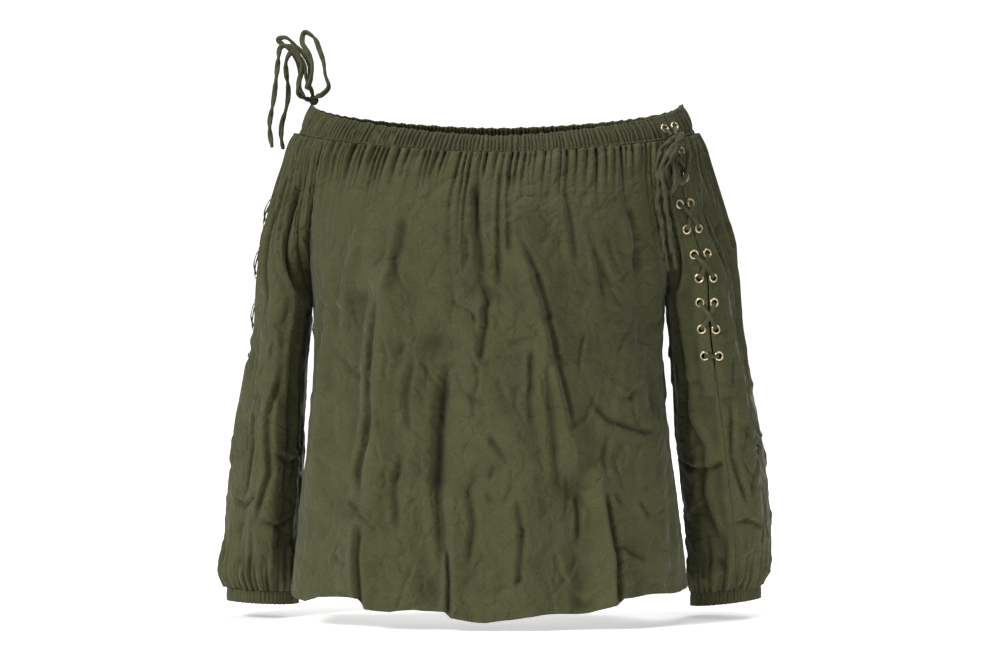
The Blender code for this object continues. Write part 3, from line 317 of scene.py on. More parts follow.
# matt white paper: the ground that the blouse's soft shadow falls on
def whitePaper(name, glow):
    material, tree, shader = newMaterial(name)
    fibres = addNode(tree, "ShaderNodeTexNoise", None, {"Scale": 60.0, "Detail": 2.0},
                     {"Vector": addNode(tree, "ShaderNodeTexCoord").outputs["Object"]})
    colour = addNode(tree, "ShaderNodeValToRGB", None, None, {"Fac": fibres.outputs["Fac"]})
    colour.color_ramp.elements[0].color = toLinear("f9f9f9")
    colour.color_ramp.elements[1].color = toLinear("fcfcfc")
    tree.links.new(colour.outputs["Color"], shader.inputs["Base Color"])
    shader.inputs["Roughness"].default_value = 0.9
    shader.inputs["Specular IOR Level"].default_value = 0.2
    shader.inputs["Emission Color"].default_value = toLinear("ffffff")
    shader.inputs["Emission Strength"].default_value = glow    # lit from behind, so that the ground stays white
    return material


floor.data.materials.append(whitePaper("white floor paper", 0.42))
bowl.data.materials.append(whitePaper("white backdrop paper", 0.85))


# woven viscose: fine yarns with slubs, soft and matt, a faint sheen where it turns away
# Its yarns are about 0.3 mm apart, too fine to show from here, so the slubs are drawn 1 to 3 mm long.
def oliveViscose(name, dark, light, creases):
    material, tree, shader = newMaterial(name)
    shader.inputs["Roughness"].default_value = 0.82
    shader.inputs["IOR"].default_value = 1.5
    shader.inputs["Specular IOR Level"].default_value = 0.25
    shader.inputs["Sheen Weight"].default_value = 0.12
    shader.inputs["Sheen Roughness"].default_value = 0.45
    place = addNode(tree, "ShaderNodeTexCoord").outputs["UV"]
    warp = addNode(tree, "ShaderNodeMapping", None, {"Scale": (1400.0, 260.0, 1.0)}, {"Vector": place})
    weft = addNode(tree, "ShaderNodeMapping", None, {"Scale": (260.0, 1400.0, 1.0)}, {"Vector": place})
    warpYarn = addNode(tree, "ShaderNodeTexNoise", None, {"Scale": 1.0, "Detail": 1.0},
                       {"Vector": warp.outputs["Vector"]})
    weftYarn = addNode(tree, "ShaderNodeTexNoise", None, {"Scale": 1.0, "Detail": 1.0},
                       {"Vector": weft.outputs["Vector"]})
    weave = addNode(tree, "ShaderNodeMath", {"operation": "ADD"}, None,
                    {0: warpYarn.outputs["Fac"], 1: weftYarn.outputs["Fac"]})
    patches = addNode(tree, "ShaderNodeTexNoise", None, {"Scale": 22.0, "Detail": 3.0, "Roughness": 0.6},
                      {"Vector": place})
    mottle = addNode(tree, "ShaderNodeMath", {"operation": "MULTIPLY_ADD"}, {1: 0.55, 2: -0.05},
                     {0: weave.outputs["Value"]})
    mixed = addNode(tree, "ShaderNodeMath", {"operation": "MULTIPLY_ADD", "use_clamp": True}, {1: 0.5},
                    {0: patches.outputs["Fac"], 2: mottle.outputs["Value"]})
    colour = addNode(tree, "ShaderNodeValToRGB", None, None, {"Fac": mixed.outputs["Value"]})
    colour.color_ramp.elements[0].position = 0.35
    colour.color_ramp.elements[0].color = toLinear(dark)
    colour.color_ramp.elements[1].position = 0.95
    colour.color_ramp.elements[1].color = toLinear(light)
    # painted shade: the colour is mixed towards a dark olive where the cloth lies in a valley, by the valley
    # attribute
    valley = addNode(tree, "ShaderNodeAttribute", {"attribute_name": "valley"})
    paintedShadeAmount = addNode(tree, "ShaderNodeMath", {"operation": "MULTIPLY", "use_clamp": True}, {1: 0.5},
                   {0: valley.outputs["Fac"]})
    shaded = addNode(tree, "ShaderNodeMix", {"data_type": "RGBA"}, {7: toLinear("16170a")},
                     {0: paintedShadeAmount.outputs["Value"], 6: colour.outputs["Color"]})
    tree.links.new(shaded.outputs[2], shader.inputs["Base Color"])
    bump = addNode(tree, "ShaderNodeBump", None, {"Strength": 0.35, "Distance": 0.00035},
                   {"Height": weave.outputs["Value"]})
    creased = addNode(tree, "ShaderNodeTexNoise", None, {"Scale": 130.0, "Detail": 4.0, "Roughness": 0.6},
                      {"Vector": place})
    soft = addNode(tree, "ShaderNodeBump", None, {"Strength": 0.3, "Distance": 0.0012},
                   {"Height": creased.outputs["Fac"], "Normal": bump.outputs["Normal"]})
    # crisp wear creases: the edges of warped cells 12 to 35 mm across
    drift = addNode(tree, "ShaderNodeTexNoise", None, {"Scale": 45.0, "Detail": 2.0}, {"Vector": place})
    bent = addNode(tree, "ShaderNodeVectorMath", {"operation": "MULTIPLY_ADD"}, {1: (0.02, 0.02, 0.0)},
                   {0: drift.outputs["Color"], 2: place})
    last = soft.outputs["Normal"]
    for scale, depth in ((28.0, 0.0022), (64.0, 0.0011)):
        cells = addNode(tree, "ShaderNodeTexVoronoi", {"feature": "DISTANCE_TO_EDGE"},
                        {"Scale": scale, "Randomness": 1.0}, {"Vector": bent.outputs["Vector"]})
        edge = addNode(tree, "ShaderNodeMapRange", {"interpolation_type": "SMOOTHSTEP"},
                       {"From Min": 0.0, "From Max": 0.22}, {"Value": cells.outputs["Distance"]})
        folded = addNode(tree, "ShaderNodeBump", None, {"Strength": creases, "Distance": depth},
                         {"Height": edge.outputs["Result"], "Normal": last})
        last = folded.outputs["Normal"]
    tree.links.new(last, shader.inputs["Normal"])
    return material


# flat lace of the same viscose, folded and pressed: a tight diagonal grain, a little smoother
def laceViscose():
    material, tree, shader = newMaterial("olive viscose lace")
    shader.inputs["Roughness"].default_value = 0.75
    shader.inputs["IOR"].default_value = 1.5
    shader.inputs["Specular IOR Level"].default_value = 0.3
    shader.inputs["Sheen Weight"].default_value = 0.1
    place = addNode(tree, "ShaderNodeTexCoord").outputs["Object"]
    grain = addNode(tree, "ShaderNodeTexNoise", None, {"Scale": 900.0, "Detail": 2.0}, {"Vector": place})
    patches = addNode(tree, "ShaderNodeTexNoise", None, {"Scale": 120.0, "Detail": 2.0}, {"Vector": place})
    mixed = addNode(tree, "ShaderNodeMath", {"operation": "MULTIPLY_ADD", "use_clamp": True}, {1: 0.5, 2: 0.0},
                    {0: grain.outputs["Fac"], 2: patches.outputs["Fac"]})
    colour = addNode(tree, "ShaderNodeValToRGB", None, None, {"Fac": mixed.outputs["Value"]})
    colour.color_ramp.elements[0].position = 0.4
    colour.color_ramp.elements[0].color = toLinear("33341d")
    colour.color_ramp.elements[1].position = 1.0
    colour.color_ramp.elements[1].color = toLinear("525236")
    tree.links.new(colour.outputs["Color"], shader.inputs["Base Color"])
    bump = addNode(tree, "ShaderNodeBump", None, {"Strength": 0.5, "Distance": 0.0004},
                   {"Height": grain.outputs["Fac"]})
    tree.links.new(bump.outputs["Normal"], shader.inputs["Normal"])
    return material


# brass, stamped and plated pale gold: bright and smooth, with faint handling marks
def platedBrass():
    material, tree, shader = newMaterial("pale gold plated brass")
    shader.inputs["Metallic"].default_value = 1.0
    place = addNode(tree, "ShaderNodeTexCoord").outputs["Object"]
    marks = addNode(tree, "ShaderNodeTexNoise", None, {"Scale": 700.0, "Detail": 3.0}, {"Vector": place})
    rough = addNode(tree, "ShaderNodeMapRange", None, {"To Min": 0.24, "To Max": 0.42},
                    {"Value": marks.outputs["Fac"]})
    tree.links.new(rough.outputs["Result"], shader.inputs["Roughness"])
    colour = addNode(tree, "ShaderNodeValToRGB", None, None, {"Fac": marks.outputs["Fac"]})
    colour.color_ramp.elements[0].position = 0.3
    colour.color_ramp.elements[0].color = toLinear("d8c79b")
    colour.color_ramp.elements[1].position = 0.8
    colour.color_ramp.elements[1].color = toLinear("efe4c4")
    tree.links.new(colour.outputs["Color"], shader.inputs["Base Color"])
    return material


# spun polyester sewing thread, a shade lighter than the cloth so that its stitches read
def sewingThread():
    material, tree, shader = newMaterial("olive sewing thread")
    shader.inputs["Roughness"].default_value = 0.6
    place = addNode(tree, "ShaderNodeTexCoord").outputs["Object"]
    twist = addNode(tree, "ShaderNodeTexNoise", None, {"Scale": 1500.0, "Detail": 1.0}, {"Vector": place})
    colour = addNode(tree, "ShaderNodeValToRGB", None, None, {"Fac": twist.outputs["Fac"]})
    colour.color_ramp.elements[0].color = toLinear("3f4026")
    colour.color_ramp.elements[1].color = toLinear("5e5e40")
    tree.links.new(colour.outputs["Color"], shader.inputs["Base Color"])
    return material


finishes = {
    "cloth": oliveViscose("olive woven viscose", "33341a", "505133", 0.6),
    "band": oliveViscose("olive viscose gathered over elastic", "31321a", "4d4d32", 0.1),
    "lace": laceViscose(),
    "eyelet": platedBrass(),
    "thread": sewingThread(),
}
print("materials made")


def unit(vector):
    return vector / np.linalg.norm(vector)


def slitTurn(side):
    front = seamTurn(side + "_front", 0.0)
    back = 180.0 - seamTurn(side + "_back", 0.0)
    turn = front + (back - front) * form["outerSeamShare"][side]
    return turn if side == "right" else -turn


# middle of the cloth beside the slit: point, outward normal, direction to the back, direction down
def slitSurface(side, across, drop):
    step = 0.01
    if drop < 0:
        bandHeight = form["bandFoot"]["side"] - form["bandTop"]["side"]
        sign = 1.0 if side == "right" else -1.0
        middle = slitTurn(side)

        def at(share, atDrop):
            return bandPoints([middle + sign * share * 100.0], 1.0 - atDrop / bandHeight)[0]
    else:
        def at(share, atDrop):
            return sleevePoints(side, [form["outerSeamShare"][side] + share], atDrop)[0]
    share = across / (np.linalg.norm(at(step, drop) - at(-step, drop)) / (2 * step))
    point = at(share, drop)
    toBack = unit(at(share + step, drop) - at(share - step, drop))
    down = unit(at(share, drop + 1.0) - point)
    normal = unit(np.cross(toBack, down))
    if np.dot(normal, point - np.array((math.copysign(120.0, point[0]), 0.0, point[2]))) < 0:
        normal = -normal
    return point, normal, toBack, down


# laces: one for each sleeve, crossed through its eyelets, tied in a bow with two free tails
lace = {
    "width": 6.0,
    "thickness": 3.8,
    "step": 1.6,
    "knots": {
        "left": {"across": 0.0, "drop": -37.0, "height": 3.6, "radii": (5.6, 5.4, 5.2)},
        "right": {"across": -8.0, "drop": 4.0, "height": 8.8, "radii": (6.2, 5.2, 5.0)}},
    "knotGap": 0.3,
    "stub": 6.0,
    # where a strand leaves its knot: shares to the back, down and outward
    "ties": {
        "loops_left": ((-0.78, -0.45, -0.45), (-0.50, -0.75, 0.45)),
        "tail_left_a": ((-0.62, 0.23, 0.72), None),
        "tail_left_b": ((0.43, 0.13, 0.89), None),
        "loops_right": ((0.88, 0.28, 0.42), (-0.30, 0.85, 0.43)),
        "tail_right_a": ((-0.95, 0.10, 0.30), None),
        "tail_right_b": ((0.25, -0.20, 0.95), None)},
    # the solids' routes, in metres: x, y, z on the left
    "routes": {
        "loops_left": (
            (-0.196, -0.004, 0.0375), (-0.191, -0.009, 0.0385), (-0.184, -0.011, 0.043), (-0.188, -0.010, 0.058),
            (-0.190, -0.009, 0.073), (-0.195, -0.008, 0.088), (-0.200, -0.006, 0.100), (-0.207, -0.005, 0.107),
            (-0.214, -0.006, 0.105), (-0.214, -0.008, 0.096), (-0.208, -0.009, 0.086), (-0.203, -0.010, 0.075),
            (-0.203, -0.010, 0.062), (-0.205, -0.0095, 0.052), (-0.2085, -0.005, 0.0455), (-0.2085, 0.002, 0.050),
            (-0.206, 0.005, 0.063), (-0.207, 0.005, 0.076), (-0.215, 0.004, 0.086), (-0.224, 0.003, 0.095),
            (-0.234, 0.003, 0.103), (-0.241, 0.005, 0.103), (-0.240, 0.009, 0.097), (-0.231, 0.011, 0.091),
            (-0.221, 0.011, 0.084), (-0.213, 0.011, 0.073), (-0.211, 0.011, 0.060), (-0.2085, 0.0105, 0.052)),
        "tail_left_a": (
            (-0.2165, 0.002, 0.037), (-0.220, -0.003, 0.046), (-0.216, -0.0035, 0.058), (-0.214, -0.0035, 0.070),
            (-0.218, -0.0035, 0.081), (-0.225, -0.004, 0.090), (-0.232, -0.004, 0.095), (-0.238, -0.004, 0.090),
            (-0.240, -0.004, 0.079), (-0.2415, -0.004, 0.066), (-0.243, -0.005, 0.052), (-0.2445, -0.005, 0.038),
            (-0.247, -0.004, 0.024), (-0.2495, -0.004, 0.010), (-0.2495, -0.004, -0.003), (-0.247, -0.004, -0.0195)),
        "tail_left_b": (
            (-0.2175, 0.020, 0.042), (-0.219, 0.017, 0.052), (-0.218, 0.017, 0.066), (-0.221, 0.017, 0.079),
            (-0.227, 0.016, 0.087), (-0.232, 0.013, 0.083), (-0.2325, 0.010, 0.070), (-0.232, 0.008, 0.057),
            (-0.2295, 0.007, 0.044), (-0.231, 0.006, 0.031), (-0.234, 0.005, 0.017), (-0.2375, 0.004, 0.004),
            (-0.2375, 0.004, -0.009), (-0.2355, 0.004, -0.021))},
    # and on the right, lying on the sleeve: x, z and how far in front of what is behind
    "laidRoutes": {
        "loops_right": (
            (0.206, -0.027, 0.009), (0.206, -0.039, 0.006), (0.204, -0.051, 0.0038), (0.2015, -0.063, 0.0034),
            (0.195, -0.060, 0.0045), (0.193, -0.047, 0.005), (0.1905, -0.036, 0.0055), (0.185, -0.040, 0.0055),
            (0.182, -0.054, 0.004), (0.184, -0.067, 0.0036), (0.189, -0.073, 0.007), (0.1915, -0.062, 0.011),
            (0.1895, -0.046, 0.0115), (0.188, -0.031, 0.0095)),
        "tail_right_a": (
            (0.180, -0.020, 0.006), (0.1745, -0.032, 0.0036), (0.1715, -0.048, 0.0032), (0.1735, -0.066, 0.0032),
            (0.1715, -0.084, 0.0032), (0.176, -0.103, 0.0032), (0.178, -0.124, 0.0032), (0.182, -0.142, 0.0032),
            (0.1855, -0.156, 0.0032)),
        "tail_right_b": (
            (0.189, -0.024, 0.019), (0.1805, -0.034, 0.016), (0.176, -0.047, 0.011), (0.176, -0.060, 0.0085),
            (0.180, -0.072, 0.0085), (0.1805, -0.088, 0.004), (0.1845, -0.104, 0.0034), (0.186, -0.122, 0.0034),
            (0.1905, -0.140, 0.0034), (0.1935, -0.153, 0.0034))},
    # turns of each strand round itself, along its length
    "twists": {"loops_left": 3.5, "tail_left_a": 4.0, "tail_left_b": 3.0, "loops_right": 2.0,
               "tail_right_a": 4.5, "tail_right_b": 4.0},
}


def knotFrame(side):
    knot = lace["knots"][side]
    point, normal, toBack, down = slitSurface(side, knot["across"], knot["drop"])
    along = unit(np.cross(normal, toBack))
    if np.dot(along, down) < 0:
        along = -along
    return point + normal * knot["height"], np.array((toBack, along, normal))


def tiePoint(side, shares, reach):
    centre, axes = knotFrame(side)
    ahead = unit(np.array(shares))
    surface = 1 / math.sqrt(sum((share / radius) ** 2 for share, radius in zip(ahead, lace["knots"][side]["radii"])))
    return centre + (axes * ahead[:, None]).sum(axis=0) * (surface + lace["knotGap"] + reach)


# a smooth line through points, at even steps
def smoothLine(points, step):
    points = np.asarray(points, float)
    fine = []
    for k in range(len(points) - 1):
        a, b = points[max(k - 1, 0)], points[k]
        c, d = points[k + 1], points[min(k + 2, len(points) - 1)]
        for m in range(8):
            s = m / 8
            fine.append((b * 2 + (c - a) * s + (a * 2 - b * 5 + c * 4 - d) * s ** 2
                         + (b * 3 - a - c * 3 + d) * s ** 3) / 2)
    fine = np.array(fine + [points[-1]])
    total = np.linalg.norm(np.diff(fine, axis=0), axis=1).sum()
    return evenRow(fine, 0, 0, max(4, round(total / step)))[0]


def laidPoints(rows):
    vertices, faces = [], []
    for name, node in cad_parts.items():
        if name.startswith(("body_front", "sleeve_right", "neck_band", "eyelet_right", "lacing_right")):
            start = len(vertices)
            vertices += [v.co / mm for v in node.data.vertices]
            faces += [[start + k for k in face.vertices] for face in node.data.polygons]
    tree = BVHTree.FromPolygons(vertices, faces)
    points = []
    for x, z, clear in rows:
        frontY = 400.0
        for k in range(8):
            turn = 2 * math.pi * k / 8
            start = Vector((x / mm + 4.0 * math.cos(turn), -400.0, z / mm + 4.0 * math.sin(turn)))
            hit = tree.ray_cast(start, Vector((0.0, 1.0, 0.0)), 800.0)
            if hit[0] is not None:
                frontY = min(frontY, hit[0].y)
        points.append((x / mm, frontY - clear / mm, z / mm))
    return points


# a flat strand of folded cloth: rounded edges, a pressed middle, turning as it goes
def strandMesh(line, sides, width, thickness, taper=()):
    ahead = np.gradient(line, axis=0)
    ahead /= np.linalg.norm(ahead, axis=1)[:, None]
    section = ((1.0, 0.0), (0.86, 0.72), (0.45, 0.95), (0.0, 0.8), (-0.45, 0.95), (-0.86, 0.72),
               (-1.0, 0.0), (-0.86, -0.72), (-0.45, -0.95), (0.0, -0.8), (0.45, -0.95), (0.86, -0.72))
    vertices, faces = [], []
    for k, point in enumerate(line):
        wide = sides[k] - ahead[k] * np.dot(sides[k], ahead[k])
        wide = unit(wide)
        thick = np.cross(ahead[k], wide)
        share = k / (len(line) - 1)
        narrow = 1.0
        for end in taper:
            narrow = min(narrow, 0.55 + 0.45 * min(1.0, abs(share - end) * len(line) * lace["step"] / 7.0))
        ripple = 1 + 0.07 * math.sin(k * 1.1) + 0.05 * math.sin(k * 2.3 + 1)
        for a, b in section:
            vertices.append(point + wide * (a * width / 2 * narrow) + thick * (b * thickness / 2 * ripple))
    size = len(section)
    for k in range(len(line) - 1):
        for m in range(size):
            n = (m + 1) % size
            faces.append((size * k + m, size * k + n, size * k + size + n, size * k + size + m))
    faces.append(tuple(reversed(range(size))))
    faces.append(tuple(range(size * (len(line) - 1), size * len(line))))
    return vertices, faces


# side directions carried along a line without spinning, then turned evenly
def carriedSides(line, first, turns):
    ahead = np.gradient(line, axis=0)
    ahead /= np.linalg.norm(ahead, axis=1)[:, None]
    side = unit(np.array(first) - ahead[0] * np.dot(first, ahead[0]))
    sides = []
    for k in range(len(line)):
        side = unit(side - ahead[k] * np.dot(side, ahead[k]))
        turn = 2 * math.pi * turns * k / len(line) + 0.5 * math.sin(k / 9.0)
        sides.append(side * math.cos(turn) + np.cross(ahead[k], side) * math.sin(turn))
    return np.array(sides)


def makeStrand(name, side):
    rows = lace["routes"].get(name)
    route = [tuple(v / mm for v in row) for row in rows] if rows else laidPoints(lace["laidRoutes"][name])
    startTie, endTie = lace["ties"][name]
    route = [tiePoint(side, startTie, lace["stub"])] + route
    if endTie:
        route = route + [tiePoint(side, endTie, lace["stub"])]
    line = smoothLine(route, 14.0)
    line = np.concatenate([[tiePoint(side, startTie, 0.0)], line]
                          + ([[tiePoint(side, endTie, 0.0)]] if endTie else []))
    line = smoothLine(line, lace["step"])
    ends = (0.0, 1.0) if endTie else (1.0,)
    sides = carriedSides(line, (0.6, 0.5, 0.62), lace["twists"][name])
    vertices, faces = strandMesh(line, sides, lace["width"], lace["thickness"], ends)
    piece = newPiece(name + "_strand", vertices, faces, finishes["lace"])
    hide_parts(name)
    return piece


for side in ("left", "right"):
    makeStrand("loops_" + side, side)
    makeStrand("tail_" + side + "_a", side)
    makeStrand("tail_" + side + "_b", side)


# a knot: the lace wound over itself in three turns round a tight core
def makeKnot(side):
    centre, axes = knotFrame(side)
    radii = lace["knots"][side]["radii"]
    vertices, faces = [], []
    work = bmesh.new()
    bmesh.ops.create_uvsphere(work, u_segments=20, v_segments=12, radius=1.0)
    for vert in work.verts:
        vertices.append(centre + sum(axes[k] * radii[k] * 0.84 * vert.co[k] for k in range(3)))
    faces += [[v.index for v in face.verts] for face in work.faces]
    work.free()
    for tilt, spin, wide in ((0.15, 0.2, 3.4), (1.25, 0.9, 3.2), (-0.9, 2.2, 3.3)):
        along = np.array((math.cos(spin) * math.cos(tilt), math.sin(spin) * math.cos(tilt), math.sin(tilt)))
        other = unit(np.cross(along, (0.3, 0.2, 0.93)))
        third = np.cross(along, other)
        count = 30
        base = len(vertices)
        section = ((1.0, 0.0), (0.7, 0.8), (0.0, 0.9), (-0.7, 0.8), (-1.0, 0.0), (0.0, -0.9))
        for k in range(count):
            turn = 2 * math.pi * k / count
            spoke = other * math.cos(turn) + third * math.sin(turn)
            lean = along * 0.28 * math.sin(turn)
            place = unit(spoke + lean)
            reach = np.array(radii) * 0.9
            for a, b in section:
                spot = place * (reach + b * 0.65) + along * (a * wide / 2)
                vertices.append(centre + (axes * spot[:, None]).sum(axis=0))
        size = len(section)
        for k in range(count):
            n = (k + 1) % count
            for m in range(size):
                q = (m + 1) % size
                faces.append((base + size * k + m, base + size * k + q, base + size * n + q, base + size * n + m))
    piece = newPiece("knot_" + side + "_wound", vertices, faces, finishes["lace"])
    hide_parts("knot_" + side)
    return piece


knots = {side: makeKnot(side) for side in ("left", "right")}
print("bows made")


# smooth seeded noise over the cloth, from -1 to 1; cells are in millimetres
def softNoise(u, v, cellU, cellV, seed):
    lattice = np.random.RandomState(seed).uniform(-1, 1, (97, 97))
    a, b = u / cellU + 40.0, v / cellV + 40.0
    i, j = np.floor(a).astype(int), np.floor(b).astype(int)
    s, t = a - i, b - j
    s, t = s * s * (3 - 2 * s), t * t * (3 - 2 * t)
    i0, i1, j0, j1 = i % 97, (i + 1) % 97, j % 97, (j + 1) % 97
    return ((lattice[i0, j0] * (1 - s) + lattice[i1, j0] * s) * (1 - t)
            + (lattice[i0, j1] * (1 - s) + lattice[i1, j1] * s) * t)


# sharp little ridges and dents, as thin cloth keeps after wear
def crinkles(u, v, size, seed):
    bentU = u + 0.6 * size * softNoise(u, v, 1.9 * size, 2.6 * size, seed + 1)
    bentV = v + 0.6 * size * softNoise(u, v, 2.2 * size, 1.8 * size, seed + 2)
    broad = softNoise(bentU, bentV, size, 1.7 * size, seed + 3)
    fine = softNoise(bentU, bentV, 0.45 * size, 0.8 * size, seed + 4)
    return (0.6 - 1.6 * np.abs(broad)) + 0.35 * (0.5 - 1.4 * np.abs(fine))


def smoothStep(value, start, end):
    share = np.clip((value - start) / (end - start), 0, 1)
    return share * share * (3 - 2 * share)


# creases: half width, depth (below zero sinks), lip (raised side), then points from end to end
def creaseHeight(across, down, creases):
    total = np.zeros_like(across)
    for halfWidth, depth, lip, *points in creases:
        best = np.full(across.shape, 1e9)
        signed = np.zeros_like(across)
        place = np.zeros_like(across)
        lengths = [math.dist(a, b) for a, b in zip(points, points[1:])]
        whole, done = sum(lengths), 0.0
        for (ax, ay), (bx, by), length in zip(points, points[1:], lengths):
            dx, dy = (bx - ax) / length, (by - ay) / length
            along = np.clip((across - ax) * dx + (down - ay) * dy, 0, length)
            offX, offY = across - ax - along * dx, down - ay - along * dy
            away = np.hypot(offX, offY)
            nearer = away < best
            best = np.where(nearer, away, best)
            signed = np.where(nearer, np.sign(offX * dy - offY * dx) * away, signed)
            place = np.where(nearer, (done + along) / whole, place)
            done += length
        ends = np.clip(np.sin(np.pi * np.clip(place, 0.0, 1.0)) * 2.2, 0.15, 1.0)
        total += depth * ends * np.exp(-(best / halfWidth) ** 2)
        total += lip * ends * np.exp(-((signed - 1.7 * halfWidth) / (1.2 * halfWidth)) ** 2)
    return total


# gathers run down from a drawn-up edge: puffed ridges between narrow valleys, each of its own length
def gatherHeight(across, down, puffs):
    chance = random.Random(puffs["seed"])
    places = [puffs["from"]]
    while places[-1] < puffs["to"]:
        places.append(places[-1] + puffs["pitch"] * chance.uniform(0.55, 1.6))
    places = np.array(places)
    leans = np.array([chance.uniform(-0.07, 0.07) for _ in places])
    rises = np.array([puffs["rise"] * chance.uniform(0.45, 1.35) for _ in places])
    reaches = np.array([puffs["reach"] * chance.choice((0.35, 0.6, 0.8, 1.0, 1.3, 1.7)) for _ in places])
    if "reachBy" in puffs:      # longer or shorter by place: across, factor
        table = np.array(puffs["reachBy"], float)
        reaches *= np.interp(places, table[:, 0], table[:, 1])
    cuts = np.array([puffs["valley"] * chance.uniform(0.1, 1.3) for _ in places])
    # the cloth's coordinate at the edge that each point hangs from
    source = across / (1 + puffs["fan"] * down)
    bend = 1.6 * softNoise(across, down, 22.0, 46.0, puffs["seed"] + 7) * np.minimum(1.0, down / 30.0)
    source = source + bend
    slot = np.clip(np.searchsorted(places, source) - 1, 0, len(places) - 2)
    left = places[slot] + leans[slot] * down * 0.3
    right = places[slot + 1] + leans[slot + 1] * down * 0.3
    share = np.clip((source - left) / np.maximum(0.8, right - left), 0, 1)
    fade = np.exp(-(down / reaches[slot]) ** 1.6)
    ridge = rises[slot] * np.sin(np.pi * share) ** 0.75 * fade
    swell = 1 + down / puffs["reach"]
    toLeft, toRight = np.abs(source - left), np.abs(source - right)
    leftFade = np.exp(-(down / (1.2 * reaches[slot])) ** 1.6)
    rightFade = np.exp(-(down / (1.2 * reaches[np.minimum(slot + 1, len(places) - 1)])) ** 1.6)
    narrow = 1.25 * swell
    valley = (cuts[slot] * leftFade * np.exp(-(toLeft / narrow) ** 2)
              + cuts[slot + 1] * rightFade * np.exp(-(toRight / narrow) ** 2))
    # cloth swells out just past the edge that draws it up
    swollen = puffs.get("swell", 0.0) * np.exp(-((down - 16.0) / 14.0) ** 2) * (0.6 + 0.4 * np.sin(np.pi * share))
    return ridge - valley + swollen - 0.35 * puffs["rise"] * np.exp(-(down / puffs["reach"]) ** 1.6)


# small creases of their own, scattered with a seed
def strayCreases(seed, count, across, down, steep, halfWidths, depths, lengths):
    chance = random.Random(seed)
    rows = []
    for _ in range(count):
        x, y = chance.uniform(*across), chance.uniform(*down)
        turn = math.radians(chance.gauss(90.0, steep))
        length = chance.uniform(*lengths)
        bend = chance.uniform(-0.22, 0.22) * length
        dx, dy = math.cos(turn) * length / 2, math.sin(turn) * length / 2
        depth = chance.uniform(*depths) * chance.choice((-1, -1, 1))
        rows.append((chance.uniform(*halfWidths), depth, 0.4 * abs(depth),
                     (x - dx, y - dy), (x - bend * math.sin(turn), y + bend * math.cos(turn)), (x + dx, y + dy)))
    return rows


# unit normals of a grid of points, pointing away from a middle point for each row
def gridNormals(grid, middles):
    along = np.gradient(grid, axis=1)
    down = np.gradient(grid, axis=0)
    normals = np.cross(along, down)
    normals /= np.maximum(1e-9, np.linalg.norm(normals, axis=2))[:, :, None]
    if np.sum(normals * (grid - middles[:, None, :])) < 0:
        normals = -normals
    return normals


def levelRow(normals, row):
    normals[row, :, 2] = 0
    normals[row] /= np.linalg.norm(normals[row], axis=1)[:, None]


# a closed thin wall: an outer and an inner sheet with a rim between them
# how deep each place lies below the cloth around it, 0 to 1: how much painted shade darkens the colour there
def paintedShadeShare(heights, ring, depth=3.0, spread=4):
    around = heights.copy()
    for _ in range(2):
        wide = np.pad(around, ((spread, spread), (0, 0)), mode="edge")
        wide = np.pad(wide, ((0, 0), (spread, spread)), mode="wrap" if ring else "edge")
        total = np.cumsum(np.cumsum(np.pad(wide, ((1, 0), (1, 0))), axis=0), axis=1)
        n = 2 * spread + 1
        around = (total[n:, n:] - total[:-n, n:] - total[n:, :-n] + total[:-n, :-n]) / n ** 2
    return np.clip((around - heights) / depth, -1.0, 1.0)


def clothPiece(name, grid, normals, heights, wall, uv, material, ring=False, thick=None):
    half = np.full(heights.shape, wall / 2) if thick is None else wall / 2 + thick
    outer = grid + normals * (heights + half)[:, :, None]
    inner = grid + normals * (heights - half)[:, :, None]
    rows, columns = heights.shape
    index = np.arange(rows * columns).reshape(rows, columns)
    right = np.roll(index, -1, axis=1) if ring else index[:, 1:]
    here = index if ring else index[:, :-1]
    quads = np.stack([here[:-1], right[:-1], right[1:], here[1:]], axis=-1).reshape(-1, 4)
    total = rows * columns
    faces = [quads, quads[:, ::-1] + total]
    for row in (0, rows - 1):
        a, b = here[row], right[row]
        rim = np.stack([b, a, a + total, b + total], axis=-1)
        faces.append(rim if row == 0 else rim[:, ::-1])
    if not ring:
        for column in (0, columns - 1):
            a, b = index[:-1, column], index[1:, column]
            rim = np.stack([a, b, b + total, a + total], axis=-1)
            faces.append(rim if column == 0 else rim[:, ::-1])
    vertices = np.concatenate([outer.reshape(-1, 3), inner.reshape(-1, 3)])
    uvs = np.concatenate([uv.reshape(-1, 2)] * 2) * mm
    piece = newPiece(name, vertices, np.concatenate(faces).tolist(), material, uvs)
    work = bmesh.new()
    work.from_mesh(piece.data)
    bmesh.ops.recalc_face_normals(work, faces=work.faces)
    work.to_mesh(piece.data)
    work.free()
    piece.data.shade_smooth()
    # painted shade: how deep each point lies in a valley, kept as the valley attribute that the material darkens the
    # colour by
    share = paintedShadeShare(heights, ring).ravel()
    valley = piece.data.attributes.new("valley", "FLOAT", "POINT")
    valley.data.foreach_set("value", np.clip(np.concatenate([share, -share]), 0.0, 1.0).astype(np.float32))
    return piece


